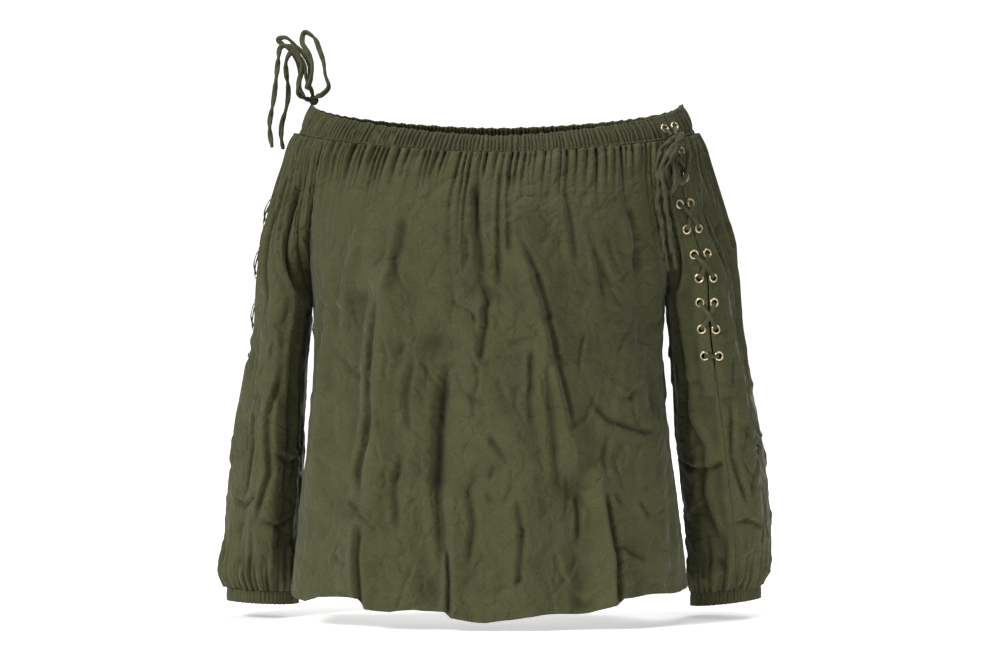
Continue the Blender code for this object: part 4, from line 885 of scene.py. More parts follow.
# the body: front and back panels
bodyCloth = {
    "wall": 0.9,
    "trim": 0.55,               # cut off each side at a seam
    "hemRoll": 0.45,            # narrow rolled hem, thicker than the cloth
    "hemHeight": 6.0,
    "bandGap": 0.4,
    "columns": {"front": 330, "back": 290},
    "gathers": {
        "front": {"from": -232, "to": 232, "pitch": 7.4, "rise": 5.2, "valley": 3.8, "reach": 40.0, "swell": 2.6,
                  "fan": 0.0016, "seed": 21,
                  "reachBy": ((-232, 2.2), (-185, 1.8), (-150, 0.75), (-60, 0.5), (-34, 0.8), (-20, 1.7),
                              (14, 1.5), (34, 0.7), (60, 0.5), (130, 0.6), (160, 1.3), (232, 1.8))},
        "back": {"from": -232, "to": 232, "pitch": 8.0, "rise": 5.0, "valley": 3.6, "reach": 44.0, "swell": 2.2,
                 "fan": 0.0012, "seed": 34,
                 "reachBy": ((-232, 1.8), (-150, 0.9), (-70, 1.4), (0, 0.7), (60, 1.3), (150, 0.8), (232, 1.8))}},
    "broad": {"pitch": 21.0, "rise": 2.2, "valley": 2.0, "reach": 72.0, "fan": 0.0016,
              "reachBy": ((-232, 2.4), (-170, 1.8), (-120, 0.6), (-50, 0.6), (-20, 1.7), (10, 1.6), (50, 0.6),
                          (130, 0.6), (170, 1.8), (232, 2.2))},
    "creaseGain": 1.5,
    # the solid's large folds: from x, from z, to x, to z, half width, depth
    "folds": {
        "front": (
            (-116, -170, -150, -500, 20, 13), (-62, -240, -68, -505, 18, -11), (-52, -400, -50, -528, 14, 10),
            (-178, -150, -196, -400, 16, 5), (-142, -190, -150, -420, 14, -8), (-5, -40, -2, -190, 10, -6),
            (-30, -50, -20, -180, 10, -6), (14, -80, 78, -350, 18, 9), (108, -380, 122, -515, 16, 11),
            (84, -390, 92, -510, 14, -8), (150, -150, 172, -300, 14, -6), (20, -330, 30, -520, 20, 8)),
        "back": (
            (-130, -120, -150, -500, 20, 11), (-100, -200, -105, -500, 16, -10), (-20, -60, -30, -480, 18, -10),
            (30, -180, 50, -505, 22, 11), (95, -150, 105, -500, 16, -10), (140, -200, 160, -500, 18, 9))},
    # main creases: half width, depth, lip, then x, z points
    "creases": {
        "front": (
            (4.5, -4.2, 1.6, (-23, -59), (-19, -110), (-12, -177)),
            (3.6, -3.2, 1.2, (3.5, -41), (2.4, -108), (3.5, -178)),
            (4.0, -2.8, 1.4, (16, -46), (14, -95), (12, -146)),
            (4.2, -4.4, 2.4, (25, -121), (40, -158), (50, -190), (58, -228), (83, -337)),
            (5.0, -3.0, 1.5, (58, -228), (54, -270), (60, -330), (66, -392)),
            (3.4, -2.4, 1.2, (102, -127), (110, -160), (113, -186)),
            (5.0, -3.8, 1.8, (140, -84), (149, -120), (155, -160)),
            (4.0, -3.4, 1.5, (-13, -167), (-9, -192), (-19, -259)),
            (6.5, -6.0, 2.6, (-52, -250), (-60, -320), (-62, -378), (-58, -440), (-56, -500)),
            (3.2, -2.2, 1.0, (37, -240), (36, -265), (38, -289)),
            (4.0, -2.2, 1.4, (-9, -332), (0, -344), (11, -362)),
            (3.6, -3.0, 1.8, (100, -296), (119, -317), (145, -326), (172, -332)),
            (4.4, -4.6, 2.4, (-123, -179), (-131, -225), (-135, -276), (-132, -306), (-137, -337),
             (-146, -372), (-144, -410)),
            (4.5, 2.6, -1.2, (-172, -168), (-183, -260), (-193, -378)),
            (3.0, -4.8, 2.6, (-141, -428), (-144, -470), (-142, -528)),
            (2.8, -4.6, 2.6, (-52, -452), (-50, -490), (-51, -532)),
            (3.0, -5.2, 2.8, (112, -385), (120, -440), (126, -470), (127, -530)),
            (3.0, -3.0, 0.8, (87, -391), (88, -420), (87, -445)),
            (3.0, -1.8, 1.2, (121, -394), (132, -410)),
            (3.0, -1.8, 1.2, (151, -405), (162, -426)),
            (3.2, -2.2, 1.4, (123, -455), (143, -468), (162, -479)),
            (5.0, -2.6, 1.6, (-95, -95), (-104, -140), (-106, -185)),
            (4.4, -2.2, 1.2, (72, -70), (80, -112), (84, -150)),
            (5.0, 2.4, -1.0, (-150, -120), (-160, -170), (-163, -230)),
            (3.8, -2.4, 1.2, (-30, -385), (-24, -425), (-30, -470)),
            (4.2, -2.8, 1.6, (20, -395), (27, -440), (22, -500)),
            (3.4, -2.0, 1.3, (-100, -350), (-108, -392), (-104, -440)),
            (3.6, -2.2, 1.2, (-88, -250), (-96, -290), (-93, -330))),
        "back": (
            (4.6, -3.8, 1.6, (-70, -60), (-78, -130), (-72, -200)),
            (4.0, -3.0, 1.4, (12, -45), (8, -120), (14, -190)),
            (4.4, -3.6, 2.0, (-30, -150), (-44, -230), (-62, -320), (-60, -400)),
            (6.0, -5.0, 2.4, (62, -220), (70, -310), (66, -400), (72, -500)),
            (4.2, -3.6, 1.8, (128, -150), (136, -220), (131, -300), (140, -370)),
            (3.6, -3.0, 1.6, (-128, -230), (-120, -300), (-132, -360)),
            (3.2, -4.2, 2.4, (-12, -420), (-16, -465), (-14, -514)),
            (3.0, -4.4, 2.2, (104, -430), (108, -470), (105, -512)),
            (3.8, -2.4, 1.4, (-160, -420), (-148, -446), (-150, -480)),
            (3.4, -2.6, 1.4, (30, -300), (44, -322), (66, -330)),
            (4.0, 2.6, -1.2, (-100, -90), (-108, -150), (-112, -210)))},
    "strays": {"front": (71, 130), "back": (72, 96)},
    # how far the hem rises above the solid's: x, rise
    "hemRises": {
        "front": ((-230, -2), (-204, -2), (-190, 8), (-178, 11), (-150, 14), (-145, 14), (-139, 5), (-113, 4),
                  (-87, 10), (-70, 10), (-54, 9), (-48, 3), (-11, 0), (14, 2), (31, 5), (48, 6), (66, 5),
                  (98, 4), (116, 6), (126, 8), (132, 14), (158, 13), (183, 9), (202, 4), (230, 0)),
        "back": ((-230, 0), (-180, 7), (-120, 3), (-60, 8), (-20, 3), (-14, 9), (50, 2), (102, 8),
                 (108, 3), (170, 8), (230, 0))},
}


def bodyLine(face, drop):
    left, right = seamTurn("left_" + face, drop), seamTurn("right_" + face, drop)
    if face == "front":
        return bodyPoints(np.linspace(-left, right, 401), drop)
    return bodyPoints(np.linspace(-180 + left, -180 - right, 401), drop)


def segmentDistance(x, z, fromX, fromZ, toX, toZ):
    dx, dz = toX - fromX, toZ - fromZ
    along = np.clip(((x - fromX) * dx + (z - fromZ) * dz) / (dx * dx + dz * dz), 0, 1)
    return np.hypot(x - fromX - along * dx, z - fromZ - along * dz)


def makeBody(face):
    columns = bodyCloth["columns"][face]
    drops = np.concatenate([np.linspace(0, 90, 38), np.linspace(93, 484, 104), np.linspace(486.2, 497, 7)])
    grid, spots = [], []
    for drop in drops:
        line = bodyLine(face, drop)
        row, at = evenRow(line, bodyCloth["trim"], bodyCloth["trim"], columns)
        grid.append(row)
        spots.append(at - at.mean())
    grid, across = np.array(grid), np.array(spots)
    down = np.repeat(drops[:, None], columns + 1, axis=1)
    x, z = grid[:, :, 0], grid[:, :, 2].copy()
    middles = np.stack([np.zeros_like(drops), np.full_like(drops, -10.0), grid[:, columns // 2, 2]], axis=-1)
    normals = gridNormals(grid, middles)
    levelRow(normals, 0)
    # distance along the row from the nearer seam, and the fades there
    fromSeam = np.minimum(across - across[:, :1], across[:, -1:] - across)
    seamFade = smoothStep(fromSeam, 0.0, 7.0)
    height = np.zeros_like(x)
    for fromX, fromZ, toX, toZ, halfWidth, depth in bodyCloth["folds"][face]:
        height += depth * np.exp(-(segmentDistance(x, z, fromX, fromZ, toX, toZ) / halfWidth) ** 2)
    height *= np.minimum(1, down / 60)
    height += gatherHeight(across, down, bodyCloth["gathers"][face])
    broad = dict(bodyCloth["broad"], seed=bodyCloth["gathers"][face]["seed"] + 5, **{"from": -240, "to": 240})
    height += gatherHeight(across, down, broad)
    height += bodyCloth["creaseGain"] * creaseHeight(x, z, bodyCloth["creases"][face]) * smoothStep(down, 2, 30)
    seed, count = bodyCloth["strays"][face]
    strays = strayCreases(seed, count, (-190, 190), (-515, -90), 32, (1.9, 3.8), (0.5, 1.9), (14, 62))
    height += 1.4 * creaseHeight(x, z, strays)
    worn = 0.25 + 0.75 * smoothStep(down, 90, 330)
    height += worn * (1.3 * crinkles(across, down, 26.0, seed + 40) + 0.45 * crinkles(across, down, 11.0, seed + 50))
    height += 1.4 * softNoise(across, down, 38, 95, seed + 60) * smoothStep(down, 60, 200)
    height *= 0.12 + 0.88 * seamFade
    height += (1 - seamFade) * 0.35 * np.sin(down / 3.1 + 1.7 * np.sin(down / 17))
    # the seam itself lies in a shallow groove
    height -= 0.35 * np.exp(-(fromSeam / 2.2) ** 2)
    # hem: rolled edge, with its stitch groove above it, and its rises
    fromHem = drops[-1] - down
    rises = np.array(bodyCloth["hemRises"][face], float)
    lift = np.interp(x, rises[:, 0], rises[:, 1]) + 0.7 * np.sin(across / 9.0)
    grid[:, :, 2] += lift * smoothStep(down, 330, 497) - bodyCloth["bandGap"] * (down == 0)
    roll = smoothStep(fromHem, bodyCloth["hemHeight"], bodyCloth["hemHeight"] - 1.5)
    height -= 0.35 * np.exp(-((fromHem - bodyCloth["hemHeight"]) / 1.4) ** 2)
    height += roll * 0.3 * np.sin(across / 2.6 + 2 * np.sin(across / 31))
    uv = np.stack([across, -down], axis=-1)
    piece = clothPiece("body_" + face + "_cloth", grid, normals, height, bodyCloth["wall"], uv,
                       finishes["cloth"], thick=roll * bodyCloth["hemRoll"])
    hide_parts("body_" + face)
    return piece, (grid, normals, height, across, down)


bodyFront, frontShape = makeBody("front")
bodyBack, backShape = makeBody("back")
print("body made")


# sleeves: each in a front and a back half, joined under the arm and down the laced outer seam
sleeveCloth = {
    "wall": 0.9,
    "trim": 0.5,
    "girth": 330.0,
    "slitHalfGap": 0.8,
    "pitch": 1.62,              # column spacing
    "flatRoom": 13.0,           # cloth lies flat this far from the slit
    "flatBlend": 9.0,
    "flatBelow": 30.0,
    "gathers": {"pitch": 7.6, "rise": 4.0, "valley": 2.9, "reach": 54.0, "swell": 1.8, "fan": 0.0},
    "broad": {"pitch": 21.0, "rise": 3.6, "valley": 2.0, "reach": 210.0, "fan": 0.0},
    "creaseGain": 1.5,
    "cuffGathers": {"pitch": 7.2, "rise": 4.8, "valley": 3.2, "reach": 36.0, "swell": 1.5, "fan": 0.0},
    # the solid's folds: share, drop, share, drop, half width, depth
    "folds": ((0.12, 60, 0.16, 440, 13, -5), (0.40, 150, 0.33, 470, 13, -5), (0.44, 260, 0.52, 480, 12, 4.5),
              (0.66, 80, 0.62, 430, 13, -5), (0.82, 120, 0.86, 460, 13, -4.5), (0.24, 300, 0.20, 480, 12, 4.5)),
    # main creases: half width, depth, lip, then points as mm round from the front seam and drop
    "creases": {
        "left": (
            (4.5, -4.0, 2.0, (30, 20), (48, 120), (58, 230), (52, 330)),
            (4.0, -3.2, 1.6, (62, 14), (88, 100), (104, 190)),
            (5.0, 3.0, -1.6, (92, 40), (118, 150), (126, 280)),
            (4.2, -3.8, 2.2, (24, 190), (34, 250), (30, 330), (44, 400)),
            (3.6, -3.2, 2.0, (70, 260), (82, 310), (76, 372), (90, 430)),
            (3.4, -3.0, 1.8, (110, 300), (100, 345), (112, 400)),
            (3.2, -3.2, 2.2, (20, 350), (44, 362), (70, 352)),
            (3.0, -2.8, 1.8, (86, 396), (112, 408), (140, 398)),
            (3.0, -2.6, 1.8, (34, 420), (56, 432), (84, 424)),
            (4.0, -3.0, 1.6, (206, 120), (214, 220), (208, 330)),
            (4.4, -3.4, 1.8, (250, 180), (262, 280), (256, 400)),
            (3.4, -2.8, 1.8, (196, 360), (224, 376), (252, 366)),
            (3.2, -2.8, 1.6, (280, 320), (296, 380), (288, 440))),
        "right": (
            (4.0, -3.4, 1.6, (18, 40), (26, 130), (30, 250), (28, 330)),
            (4.6, -3.8, 2.0, (96, 60), (100, 160), (112, 250), (108, 350)),
            (5.0, 3.0, -1.6, (128, 50), (138, 160), (136, 270)),
            (4.0, -3.4, 1.8, (160, 90), (168, 190), (160, 300)),
            (3.8, -3.6, 2.2, (24, 300), (40, 345), (34, 400), (46, 450)),
            (3.4, -3.0, 2.0, (74, 300), (66, 352), (80, 410)),
            (3.2, -3.2, 2.2, (12, 362), (36, 372), (62, 360)),
            (3.2, -3.0, 2.0, (90, 330), (118, 345), (146, 336)),
            (3.0, -2.8, 1.8, (50, 430), (78, 424), (104, 434)),
            (4.2, -3.2, 1.8, (224, 140), (232, 240), (226, 350)),
            (3.4, -2.8, 1.6, (270, 200), (282, 300), (276, 420)),
            (3.2, -2.6, 1.6, (190, 380), (216, 392), (246, 382)))},
    "strays": {"left": (81, 110), "right": (82, 110)},
}


def makeSleeveHalf(side, half):
    seamShare = form["outerSeamShare"][side]
    start = 0.0 if half == "front" else 1.0
    width = abs(seamShare - start)
    girth = sleeveCloth["girth"]
    columns = int(width * girth / sleeveCloth["pitch"])
    drops = np.concatenate([np.linspace(0, 90, 42), np.linspace(93, 440, 108), np.linspace(442.5, 503, 26)])
    grid, toSlit = [], []
    for drop in drops:
        line = sleevePoints(side, np.linspace(start, seamShare, 301), drop)
        slitTrim = sleeveCloth["slitHalfGap"] if drop < form["slitLength"] else 0.15
        row, at = evenRow(line, sleeveCloth["trim"], slitTrim, columns)
        grid.append(row)
        toSlit.append(at[-1] - at)
    grid, toSlit = np.array(grid), np.array(toSlit)
    down = np.repeat(drops[:, None], columns + 1, axis=1)
    shares = start + (seamShare - start) * np.linspace(0, 1, columns + 1)
    around = np.repeat((shares * girth)[None, :], len(drops), axis=0)
    middles = []
    for drop, row in zip(drops, grid):
        pair = ringPoints(side, [0.0, 180.0], drop)
        share = 0.6 + 0.4 * min(1.0, drop / form["underarmDrop"])
        middles.append((pair[:, 0].mean() * share, pair[0, 1], row[len(row) // 2, 2]))
    normals = gridNormals(grid, np.array(middles))
    levelRow(normals, 0)
    levelRow(normals, -1)
    mirrored = girth - around if side == "right" else around
    height = np.zeros(down.shape)
    for fromShare, fromDrop, toShare, toDrop, halfWidth, depth in sleeveCloth["folds"]:
        away = segmentDistance(mirrored, down, fromShare * girth, fromDrop, toShare * girth, toDrop)
        height += depth * np.exp(-(away / halfWidth) ** 2)
    fromFoot = drops[-1] - down
    height *= np.minimum(np.minimum(1, down / 60), fromFoot / 30)
    seed, count = sleeveCloth["strays"][side]
    gathers = dict(sleeveCloth["gathers"], seed=seed + 3, **{"from": -20, "to": girth + 20})
    height += gatherHeight(around, down, gathers)
    broad = dict(sleeveCloth["broad"], seed=seed + 9, **{"from": -30, "to": girth + 30})
    height += gatherHeight(around, down, broad)
    footGathers = dict(sleeveCloth["cuffGathers"], seed=seed + 5, **{"from": -20, "to": girth + 20})
    height += gatherHeight(around, fromFoot, footGathers)
    height += sleeveCloth["creaseGain"] * creaseHeight(around, down, sleeveCloth["creases"][side]) * smoothStep(fromFoot, 5, 40)
    strays = strayCreases(seed, count, (0, girth), (60, 490), 36, (1.9, 3.8), (0.6, 2.0), (14, 56))
    height += 1.4 * creaseHeight(around, down, strays)
    worn = 0.35 + 0.65 * smoothStep(down, 120, 330)
    height += worn * (1.5 * crinkles(around, down, 24.0, seed + 40) + 0.45 * crinkles(around, down, 10.0, seed + 50))
    height += 1.6 * softNoise(around, down, 36, 90, seed + 60) * smoothStep(down, 50, 160)
    fromSeam = np.abs(around - start * girth)
    seamFade = smoothStep(fromSeam, 0.0, 7.0)
    laced = down < form["slitLength"] + sleeveCloth["flatBelow"]
    flat = smoothStep(toSlit, sleeveCloth["flatRoom"], sleeveCloth["flatRoom"] + sleeveCloth["flatBlend"])
    height *= np.where(laced, flat, 0.15 + 0.85 * smoothStep(toSlit, 0.0, 9.0))
    height *= 0.12 + 0.88 * seamFade
    height += (1 - seamFade) * 0.35 * np.sin(down / 3.1 + 1.7 * np.sin(down / 17))
    height -= 0.35 * np.exp(-(fromSeam / 2.2) ** 2)
    height -= 0.6 * np.exp(-(toSlit / 2.0) ** 2) * (down > form["slitLength"]) * (1 - smoothStep(down, 300, 380))
    grid[0, :, 2] -= 0.4
    thick = 0.3 * smoothStep(toSlit, 2.6, 1.6) * (down < form["slitLength"])    # the slit's turned edge
    uv = np.stack([around, -down], axis=-1)
    name = "sleeve_" + side + "_" + half
    piece = clothPiece(name + "_cloth", grid, normals, height, sleeveCloth["wall"], uv, finishes["cloth"],
                       thick=thick)
    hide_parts(name)
    return piece, (grid, normals, height, toSlit, down)


sleeves = {(side, half): makeSleeveHalf(side, half) for side in ("left", "right") for half in ("front", "back")}
print("sleeves made")


# neck band and cuffs: cloth doubled over elastic and drawn into fine ribs
bandCloth = {
    "wall": 1.5,
    "slitHalfGap": 0.8,
    "flatRoom": 13.0,
    "flatBlend": 5.0,
    "rib": {"pitch": 3.6, "rise": 3.2, "valley": 2.2},
    "cuffRib": {"pitch": 4.0, "rise": 2.6, "valley": 0.8},
    "cuffHeight": 14.0,
    "seeds": {"front": 91, "back": 92, "left": 93, "right": 94},
}


# ribs of a gathered band: they wander a little and pinch in at its stitch lines
def ribHeight(across, share, rib, seed):
    chance = random.Random(seed)
    places = [across.min() - 10]
    while places[-1] < across.max() + 10:
        places.append(places[-1] + rib["pitch"] * chance.uniform(0.6, 1.5))
    rises = np.array([rib["rise"] * chance.uniform(0.45, 1.3) for _ in places])
    places = np.array(places)
    source = across + 0.9 * softNoise(across, share * 18, 9.0, 9.0, seed) + 0.5 * softNoise(
        across, share * 18, 4.0, 5.0, seed + 1)
    slot = np.clip(np.searchsorted(places, source) - 1, 0, len(places) - 2)
    inside = (source - places[slot]) / (places[slot + 1] - places[slot])
    ridge = rises[slot] * np.sin(np.pi * np.clip(inside, 0, 1)) ** 0.8
    puffed = 0.55 + 0.45 * np.sin(np.pi * np.clip((share - 0.08) / 0.78, 0, 1))
    dip = np.exp(-((source - places[slot]) / 0.9) ** 2) + np.exp(-((source - places[slot + 1]) / 0.9) ** 2)
    return ridge * puffed - rib["valley"] * dip * puffed - 0.4 * rib["rise"]


def makeBand(face):
    left, right = slitTurn("left"), slitTurn("right")
    start, end = (left, right) if face == "front" else (right, 360.0 + left)
    shares = np.linspace(0, 1, 17)
    grid, spots, toEnd = [], [], []
    for share in shares:
        line = bandPoints(np.linspace(start, end, 601), share)
        row, at = evenRow(line, bandCloth["slitHalfGap"], bandCloth["slitHalfGap"], 520)
        grid.append(row)
        spots.append(at)
        toEnd.append(np.minimum(at - at[0], at[-1] - at))
    grid, across, toEnd = np.array(grid), np.array(spots), np.array(toEnd)
    down = np.repeat(shares[:, None], grid.shape[1], axis=1)
    normals = gridNormals(grid, np.stack([np.zeros(17), np.zeros(17), grid[:, 0, 2]], axis=-1))
    seed = bandCloth["seeds"][face]
    scaled = across * (across[:1, -1:] / across[:, -1:])
    height = ribHeight(scaled, down, bandCloth["rib"], seed)
    stitched = np.exp(-((down - 0.86) / 0.05) ** 2) + 0.6 * np.exp(-((down - 0.1) / 0.05) ** 2)
    height -= 1.1 * stitched
    height *= smoothStep(toEnd, bandCloth["flatRoom"], bandCloth["flatRoom"] + bandCloth["flatBlend"])
    grid[0, :, 2] += 0.5 * np.sin(scaled[0] / 2.1 + 2 * np.sin(scaled[0] / 13)) * (toEnd[0] > 16)
    thick = 0.25 * np.exp(-(down / 0.1) ** 2)
    uv = np.stack([scaled, -18 * down], axis=-1)
    piece = clothPiece("neck_band_" + face + "_cloth", grid, normals, height, bandCloth["wall"], uv,
                       finishes["band"], thick=thick)
    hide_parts("neck_band_" + face)
    return piece, (grid, normals, height, across, down)


def makeCuff(side):
    count, rows = 236, 15
    turns = np.linspace(-180, 180, 721)
    ring = ringPoints(side, turns, form["sleeveLength"])
    centre = ringPoints(side, [0.0, 180.0], form["sleeveLength"]).mean(axis=0)
    outward = ring - centre
    outward[:, 2] = 0
    outward /= np.linalg.norm(outward, axis=1)[:, None]
    even, at = evenRow(ring + outward, 0, 0, count)
    even, at = even[:-1], at[:-1]
    outward = even - centre
    outward[:, 2] = 0
    outward /= np.linalg.norm(outward, axis=1)[:, None]
    shares = np.linspace(0, 1, rows)
    grid = np.repeat(even[None], rows, axis=0)
    grid[:, :, 2] -= 0.4 + shares[:, None] * bandCloth["cuffHeight"]
    normals = np.repeat(outward[None], rows, axis=0)
    across = np.repeat(at[None], rows, axis=0)
    down = np.repeat(shares[:, None], count, axis=1)
    length = at[-1] + at[1]
    rib = dict(bandCloth["cuffRib"])
    fit = length / round(length / rib["pitch"])
    wave = across + 0.6 * np.sin(2 * np.pi * across / length * 7) + 0.5 * np.sin(2 * np.pi * across / length * 19)
    uneven = 0.75 + 0.35 * np.sin(2 * np.pi * across / length * 11 + 1) * np.sin(2 * np.pi * across / length * 4)
    height = rib["rise"] * uneven * (np.abs(np.sin(np.pi * wave / fit)) ** 0.8 - 0.45)
    height -= 0.5 * np.exp(-((down - 0.16) / 0.07) ** 2) + 0.4 * np.exp(-((down - 0.86) / 0.07) ** 2)
    height += 0.4 * down
    grid[-1, :, 2] += 0.35 * np.sin(wave[-1] * 2 * np.pi / fit)
    uv = np.stack([across, -14 * down], axis=-1)
    piece = clothPiece("cuff_" + side + "_cloth", grid, normals, height, bandCloth["wall"], uv,
                       finishes["band"], ring=True)
    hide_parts("cuff_" + side)
    return piece


bands = {face: makeBand(face) for face in ("front", "back")}
cuffs = {side: makeCuff(side) for side in ("left", "right")}
print("band and cuffs made")


# eyelets: rolled rings pressed through the cloth, ten pairs a sleeve, the first on the neck band
eyelets = {
    "pairs": 10,
    "fromSlit": 7.8,
    "firstDrop": -14.0,
    "spacing": 28.8,
    "segments": 32,
    "holeInCloth": 3.5,
    # radius and height over the seat: in through the hole, over the roll and out
    "profile": ((3.35, -1.3), (3.2, -0.4), (3.22, 0.35), (3.4, 0.8), (3.75, 1.05), (4.2, 1.15), (4.65, 1.05),
                (5.0, 0.75), (5.22, 0.35), (5.3, 0.0), (5.2, -0.35), (4.6, -0.4), (3.8, -0.45), (3.6, -1.3)),
}


def eyeletDrop(pair):
    return eyelets["firstDrop"] + eyelets["spacing"] * pair


def makeEyelets():
    seats, places = {}, {}
    for side in ("left", "right"):
        for half, column in (("front", -1), ("back", 1)):
            for pair in range(eyelets["pairs"]):
                name = "eyelet_%s_%s_%02d" % (side, half, pair + 1)
                point, normal, toBack, down = slitSurface(side, column * eyelets["fromSlit"], eyeletDrop(pair))
                corners = np.array([v.co[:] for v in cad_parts[name].data.vertices]) / mm
                seat = ((corners - point) @ normal).min()
                along = unit(np.cross(normal, toBack))
                vertices, faces = [], []
                count, size = eyelets["segments"], len(eyelets["profile"])
                for k in range(count):
                    turn = 2 * math.pi * k / count
                    spoke = toBack * math.cos(turn) + along * math.sin(turn)
                    for radius, height in eyelets["profile"]:
                        vertices.append(point + spoke * radius + normal * (seat + height))
                for k in range(count):
                    here, there = k * size, (k + 1) % count * size
                    for m in range(size):
                        n = (m + 1) % size
                        faces.append((here + m, there + m, there + n, here + n))
                ring = newPiece(name + "_ring", vertices, faces, finishes["eyelet"])
                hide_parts(name)
                seats[side, column, pair] = seat
                places[side, half, pair] = (point, normal, toBack, along)
    return seats, places


seats, eyeletPlaces = makeEyelets()


# round holes through the cloth, one inside each ring
def cutEyeletHoles(piece, spots):
    vertices, faces = [], []
    count = 20
    for point, normal, toBack, along in spots:
        base = len(vertices)
        for level in (-5.0, 5.0):
            for k in range(count):
                turn = 2 * math.pi * (k + 0.5) / count
                spoke = toBack * math.cos(turn) + along * math.sin(turn)
                vertices.append(point + spoke * eyelets["holeInCloth"] + normal * level)
        faces.append(tuple(reversed(range(base, base + count))))
        faces.append(tuple(range(base + count, base + 2 * count)))
        for k in range(count):
            n = (k + 1) % count
            faces.append((base + k, base + n, base + count + n, base + count + k))
    mesh = bpy.data.meshes.new("punch")
    mesh.from_pydata([tuple(v * mm) for v in vertices], [], faces)
    punch = bpy.data.objects.new("punch", mesh)
    scene.collection.objects.link(punch)
    cut = piece.modifiers.new("eyelet holes", "BOOLEAN")
    cut.operation = "DIFFERENCE"
    cut.solver = "MANIFOLD"
    cut.object = punch
    graph = bpy.context.evaluated_depsgraph_get()
    made = bpy.data.meshes.new_from_object(piece.evaluated_get(graph), depsgraph=graph)
    piece.modifiers.clear()
    piece.data = made
    bpy.data.objects.remove(punch)


for (side, half), (piece, shape) in sleeves.items():
    cutEyeletHoles(piece, [eyeletPlaces[side, half, pair] for pair in range(1, eyelets["pairs"])])
for half, (piece, shape) in bands.items():
    cutEyeletHoles(piece, [eyeletPlaces[side, half, 0] for side in ("left", "right")])
print("eyelets made")


# the crossed lace, through every eyelet from the bar at the foot up to the knot
crossing = {
    "width": 4.6,
    "thickness": 1.0,
    "overRing": 2.4,
    "inHole": -0.5,
    "low": 3.2,
    "high": 5.3,
    "inside": -3.8,
    "rimStep": 2.4,
    "endAcross": 2.5,
    "knotGap": -0.6,
    "knotDip": 0.5,
}


def laceStations(side):
    knot = lace["knots"][side]

    def through(column, pair, goal):
        start = np.array((column * eyelets["fromSlit"], eyeletDrop(pair)))
        ahead = unit(goal - start)
        wide = np.array((ahead[1], -ahead[0]))
        halfTurned = unit(wide + np.array((1.0, 0.0)) * (1 if wide[0] > 0 else -1))
        rim = start + ahead * crossing["rimStep"]
        seat = seats[side, column, pair]
        return [(*start, seat + crossing["inside"], halfTurned), (*start, seat + crossing["inHole"], wide),
                (*rim, seat + crossing["overRing"], wide)]

    def acrossOutside(column, fromPair, toPair, over):
        middleHeight = max(seats[side, each, pair] for each in (-1, 1) for pair in (fromPair, toPair)) + over
        start = np.array((column * eyelets["fromSlit"], eyeletDrop(fromPair)))
        goal = np.array((-column * eyelets["fromSlit"], eyeletDrop(toPair)))
        ahead = unit(goal - start)
        middle = (start + goal) / 2
        return (through(column, fromPair, goal) + [(*middle, middleHeight, np.array((ahead[1], -ahead[0])))]
                + through(-column, toPair, start)[::-1])

    def strand(column, high):
        stations = []
        for pair in range(1, eyelets["pairs"] - 1, 2):
            stations += acrossOutside(column, pair, pair + 1, crossing["high"] if high else crossing["low"])
            column, high = -column, not high
        return stations

    def toKnot(column):
        fromSide = 1.0 if knot["drop"] < eyelets["firstDrop"] else -1.0
        stop = np.array((knot["across"] + column * crossing["endAcross"],
                         knot["drop"] + fromSide * (knot["radii"][1] + crossing["knotGap"])))
        start = np.array((column * eyelets["fromSlit"], eyeletDrop(0)))
        ahead = unit(stop - start)
        return through(column, 0, stop) + [(*stop, knot["height"] - crossing["knotDip"],
                                            np.array((ahead[1], -ahead[0])))]

    last = eyelets["pairs"] - 1
    bar = acrossOutside(strandEnd(), last, last, crossing["low"])
    return toKnot(-1)[::-1] + strand(-1, True) + bar + strand(1, False)[::-1] + toKnot(1)


# the first strand starts in the front column and changes column after every second pair
def strandEnd():
    changes = len(range(1, eyelets["pairs"] - 1, 2))
    return -1 if changes % 2 == 0 else 1


def makeLacing(side):
    centres, widths = [], []
    for across, drop, height, wide in laceStations(side):
        point, normal, toBack, down = slitSurface(side, across, drop)
        centres.append(point + normal * height)
        widths.append(unit(toBack * wide[0] + down * wide[1]))
    for k in range(1, len(widths)):
        if np.dot(widths[k], widths[k - 1]) < 0:
            widths[k] = -widths[k]
    line, sides = [], []
    for k in range(len(centres) - 1):
        a, b = centres[max(k - 1, 0)], centres[k]
        c, d = centres[k + 1], centres[min(k + 2, len(centres) - 1)]
        length = np.linalg.norm(c - b)
        near, far = (c - a) * 0.5, (d - b) * 0.5
        # the tangents are kept as short as the stretch, so that a tight turn doesn't swing out
        near *= min(1.0, 0.9 * length / max(1e-6, np.linalg.norm(near)))
        far *= min(1.0, 0.9 * length / max(1e-6, np.linalg.norm(far)))
        steps = max(2, int(length / 1.6))
        for m in range(steps):
            s = m / steps
            line.append((2 * s ** 3 - 3 * s ** 2 + 1) * b + (s ** 3 - 2 * s ** 2 + s) * near
                        + (3 * s ** 2 - 2 * s ** 3) * c + (s ** 3 - s ** 2) * far)
            sides.append(unit(widths[k] * (1 - s) + widths[k + 1] * s))
    line.append(centres[-1])
    sides.append(widths[-1])
    vertices, faces = strandMesh(np.array(line), sides, crossing["width"], crossing["thickness"])
    piece = newPiece("lacing_" + side + "_lace", vertices, faces, finishes["lace"])
    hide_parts("lacing_" + side)
    return piece


lacings = {side: makeLacing(side) for side in ("left", "right")}
print("lacing made")


# sewing: short stitches along the hem, the foot of the band and the slit
stitches = {
    "length": 2.4,
    "gap": 0.9,
    "thread": 0.42,
    "lift": 0.12,
    "hemUp": 5.6,
    "slitIn": 2.4,
}


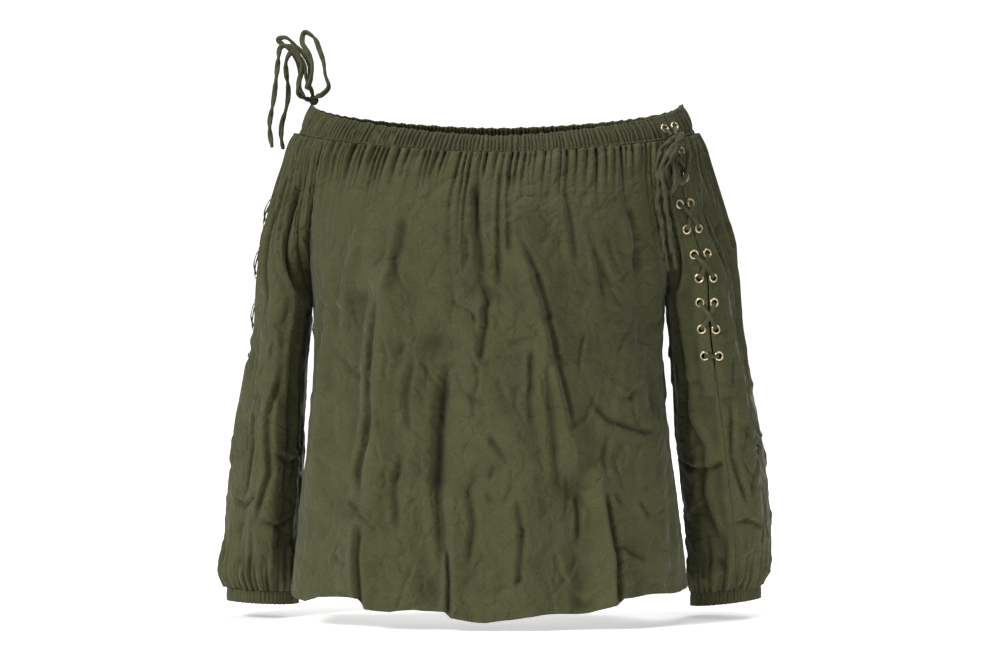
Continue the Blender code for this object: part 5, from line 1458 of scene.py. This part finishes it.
def stitchRow(name, line, normals):
    steps = np.linalg.norm(np.diff(line, axis=0), axis=1)
    along = np.concatenate([[0.0], np.cumsum(steps)])
    pitch = stitches["length"] + stitches["gap"]
    starts = np.arange(1.0, along[-1] - pitch, pitch)
    vertices, faces = [], []
    half = stitches["thread"] / 2
    for start in starts:
        base = len(vertices)
        spots = []
        for share in (0.0, 0.22, 0.5, 0.78, 1.0):
            at = start + share * stitches["length"]
            point = np.array([np.interp(at, along, line[:, k]) for k in range(3)])
            normal = unit(np.array([np.interp(at, along, normals[:, k]) for k in range(3)]))
            rise = stitches["lift"] + 0.22 * math.sin(math.pi * share) - 0.3 * (share in (0.0, 1.0))
            spots.append((point + normal * rise, normal))
        ahead = unit(spots[-1][0] - spots[0][0])
        for k, (point, normal) in enumerate(spots):
            wide = unit(np.cross(ahead, normal))
            size = half * (0.45 if k in (0, 4) else 1.0)
            for turn in (0, 72, 144, 216, 288):
                a = math.radians(turn)
                vertices.append(point + wide * math.cos(a) * size + normal * math.sin(a) * size)
        for k in range(4):
            for m in range(5):
                n = (m + 1) % 5
                faces.append((base + 5 * k + m, base + 5 * k + n, base + 5 * k + 5 + n, base + 5 * k + 5 + m))
        faces.append(tuple(reversed(range(base, base + 5))))
        faces.append(tuple(range(base + 20, base + 25)))
    return newPiece(name, vertices, faces, finishes["thread"])


# a row of the cloth's outer face, and its normals, at a place between grid rows
def faceRow(shape, wall, place):
    grid, normals, height = shape[:3]
    low = int(place)
    share = place - low
    outer = grid + normals * (height + wall / 2)[:, :, None]
    high = min(low + 1, len(outer) - 1)
    return outer[low] * (1 - share) + outer[high] * share, normals[low]


def faceColumn(shape, wall, column, rowEnd):
    grid, normals, height = shape[:3]
    outer = grid + normals * (height + wall / 2)[:, :, None]
    return outer[:rowEnd, column], normals[:rowEnd, column]


for face, shape in (("front", frontShape), ("back", backShape)):
    drops = shape[4][:, 0]
    place = np.interp(drops[-1] - stitches["hemUp"], drops, np.arange(len(drops)))
    line, normals = faceRow(shape, bodyCloth["wall"], place)
    stitchRow("hem_stitches_" + face, line, normals)
    line, normals = faceRow(bands[face][1], bandCloth["wall"], 13.8)
    stitchRow("band_stitches_" + face, line, normals)
for (side, half), (piece, shape) in sleeves.items():
    grid, normals, height, toSlit, down = shape
    rowEnd = int(np.searchsorted(down[:, 0], form["slitLength"]))
    column = int(np.argmin(np.abs(toSlit[rowEnd // 2] - stitches["slitIn"])))
    line, sides = faceColumn(shape, sleeveCloth["wall"], column, rowEnd)
    stitchRow("slit_stitches_%s_%s" % (side, half), line, sides)
print("stitches made")
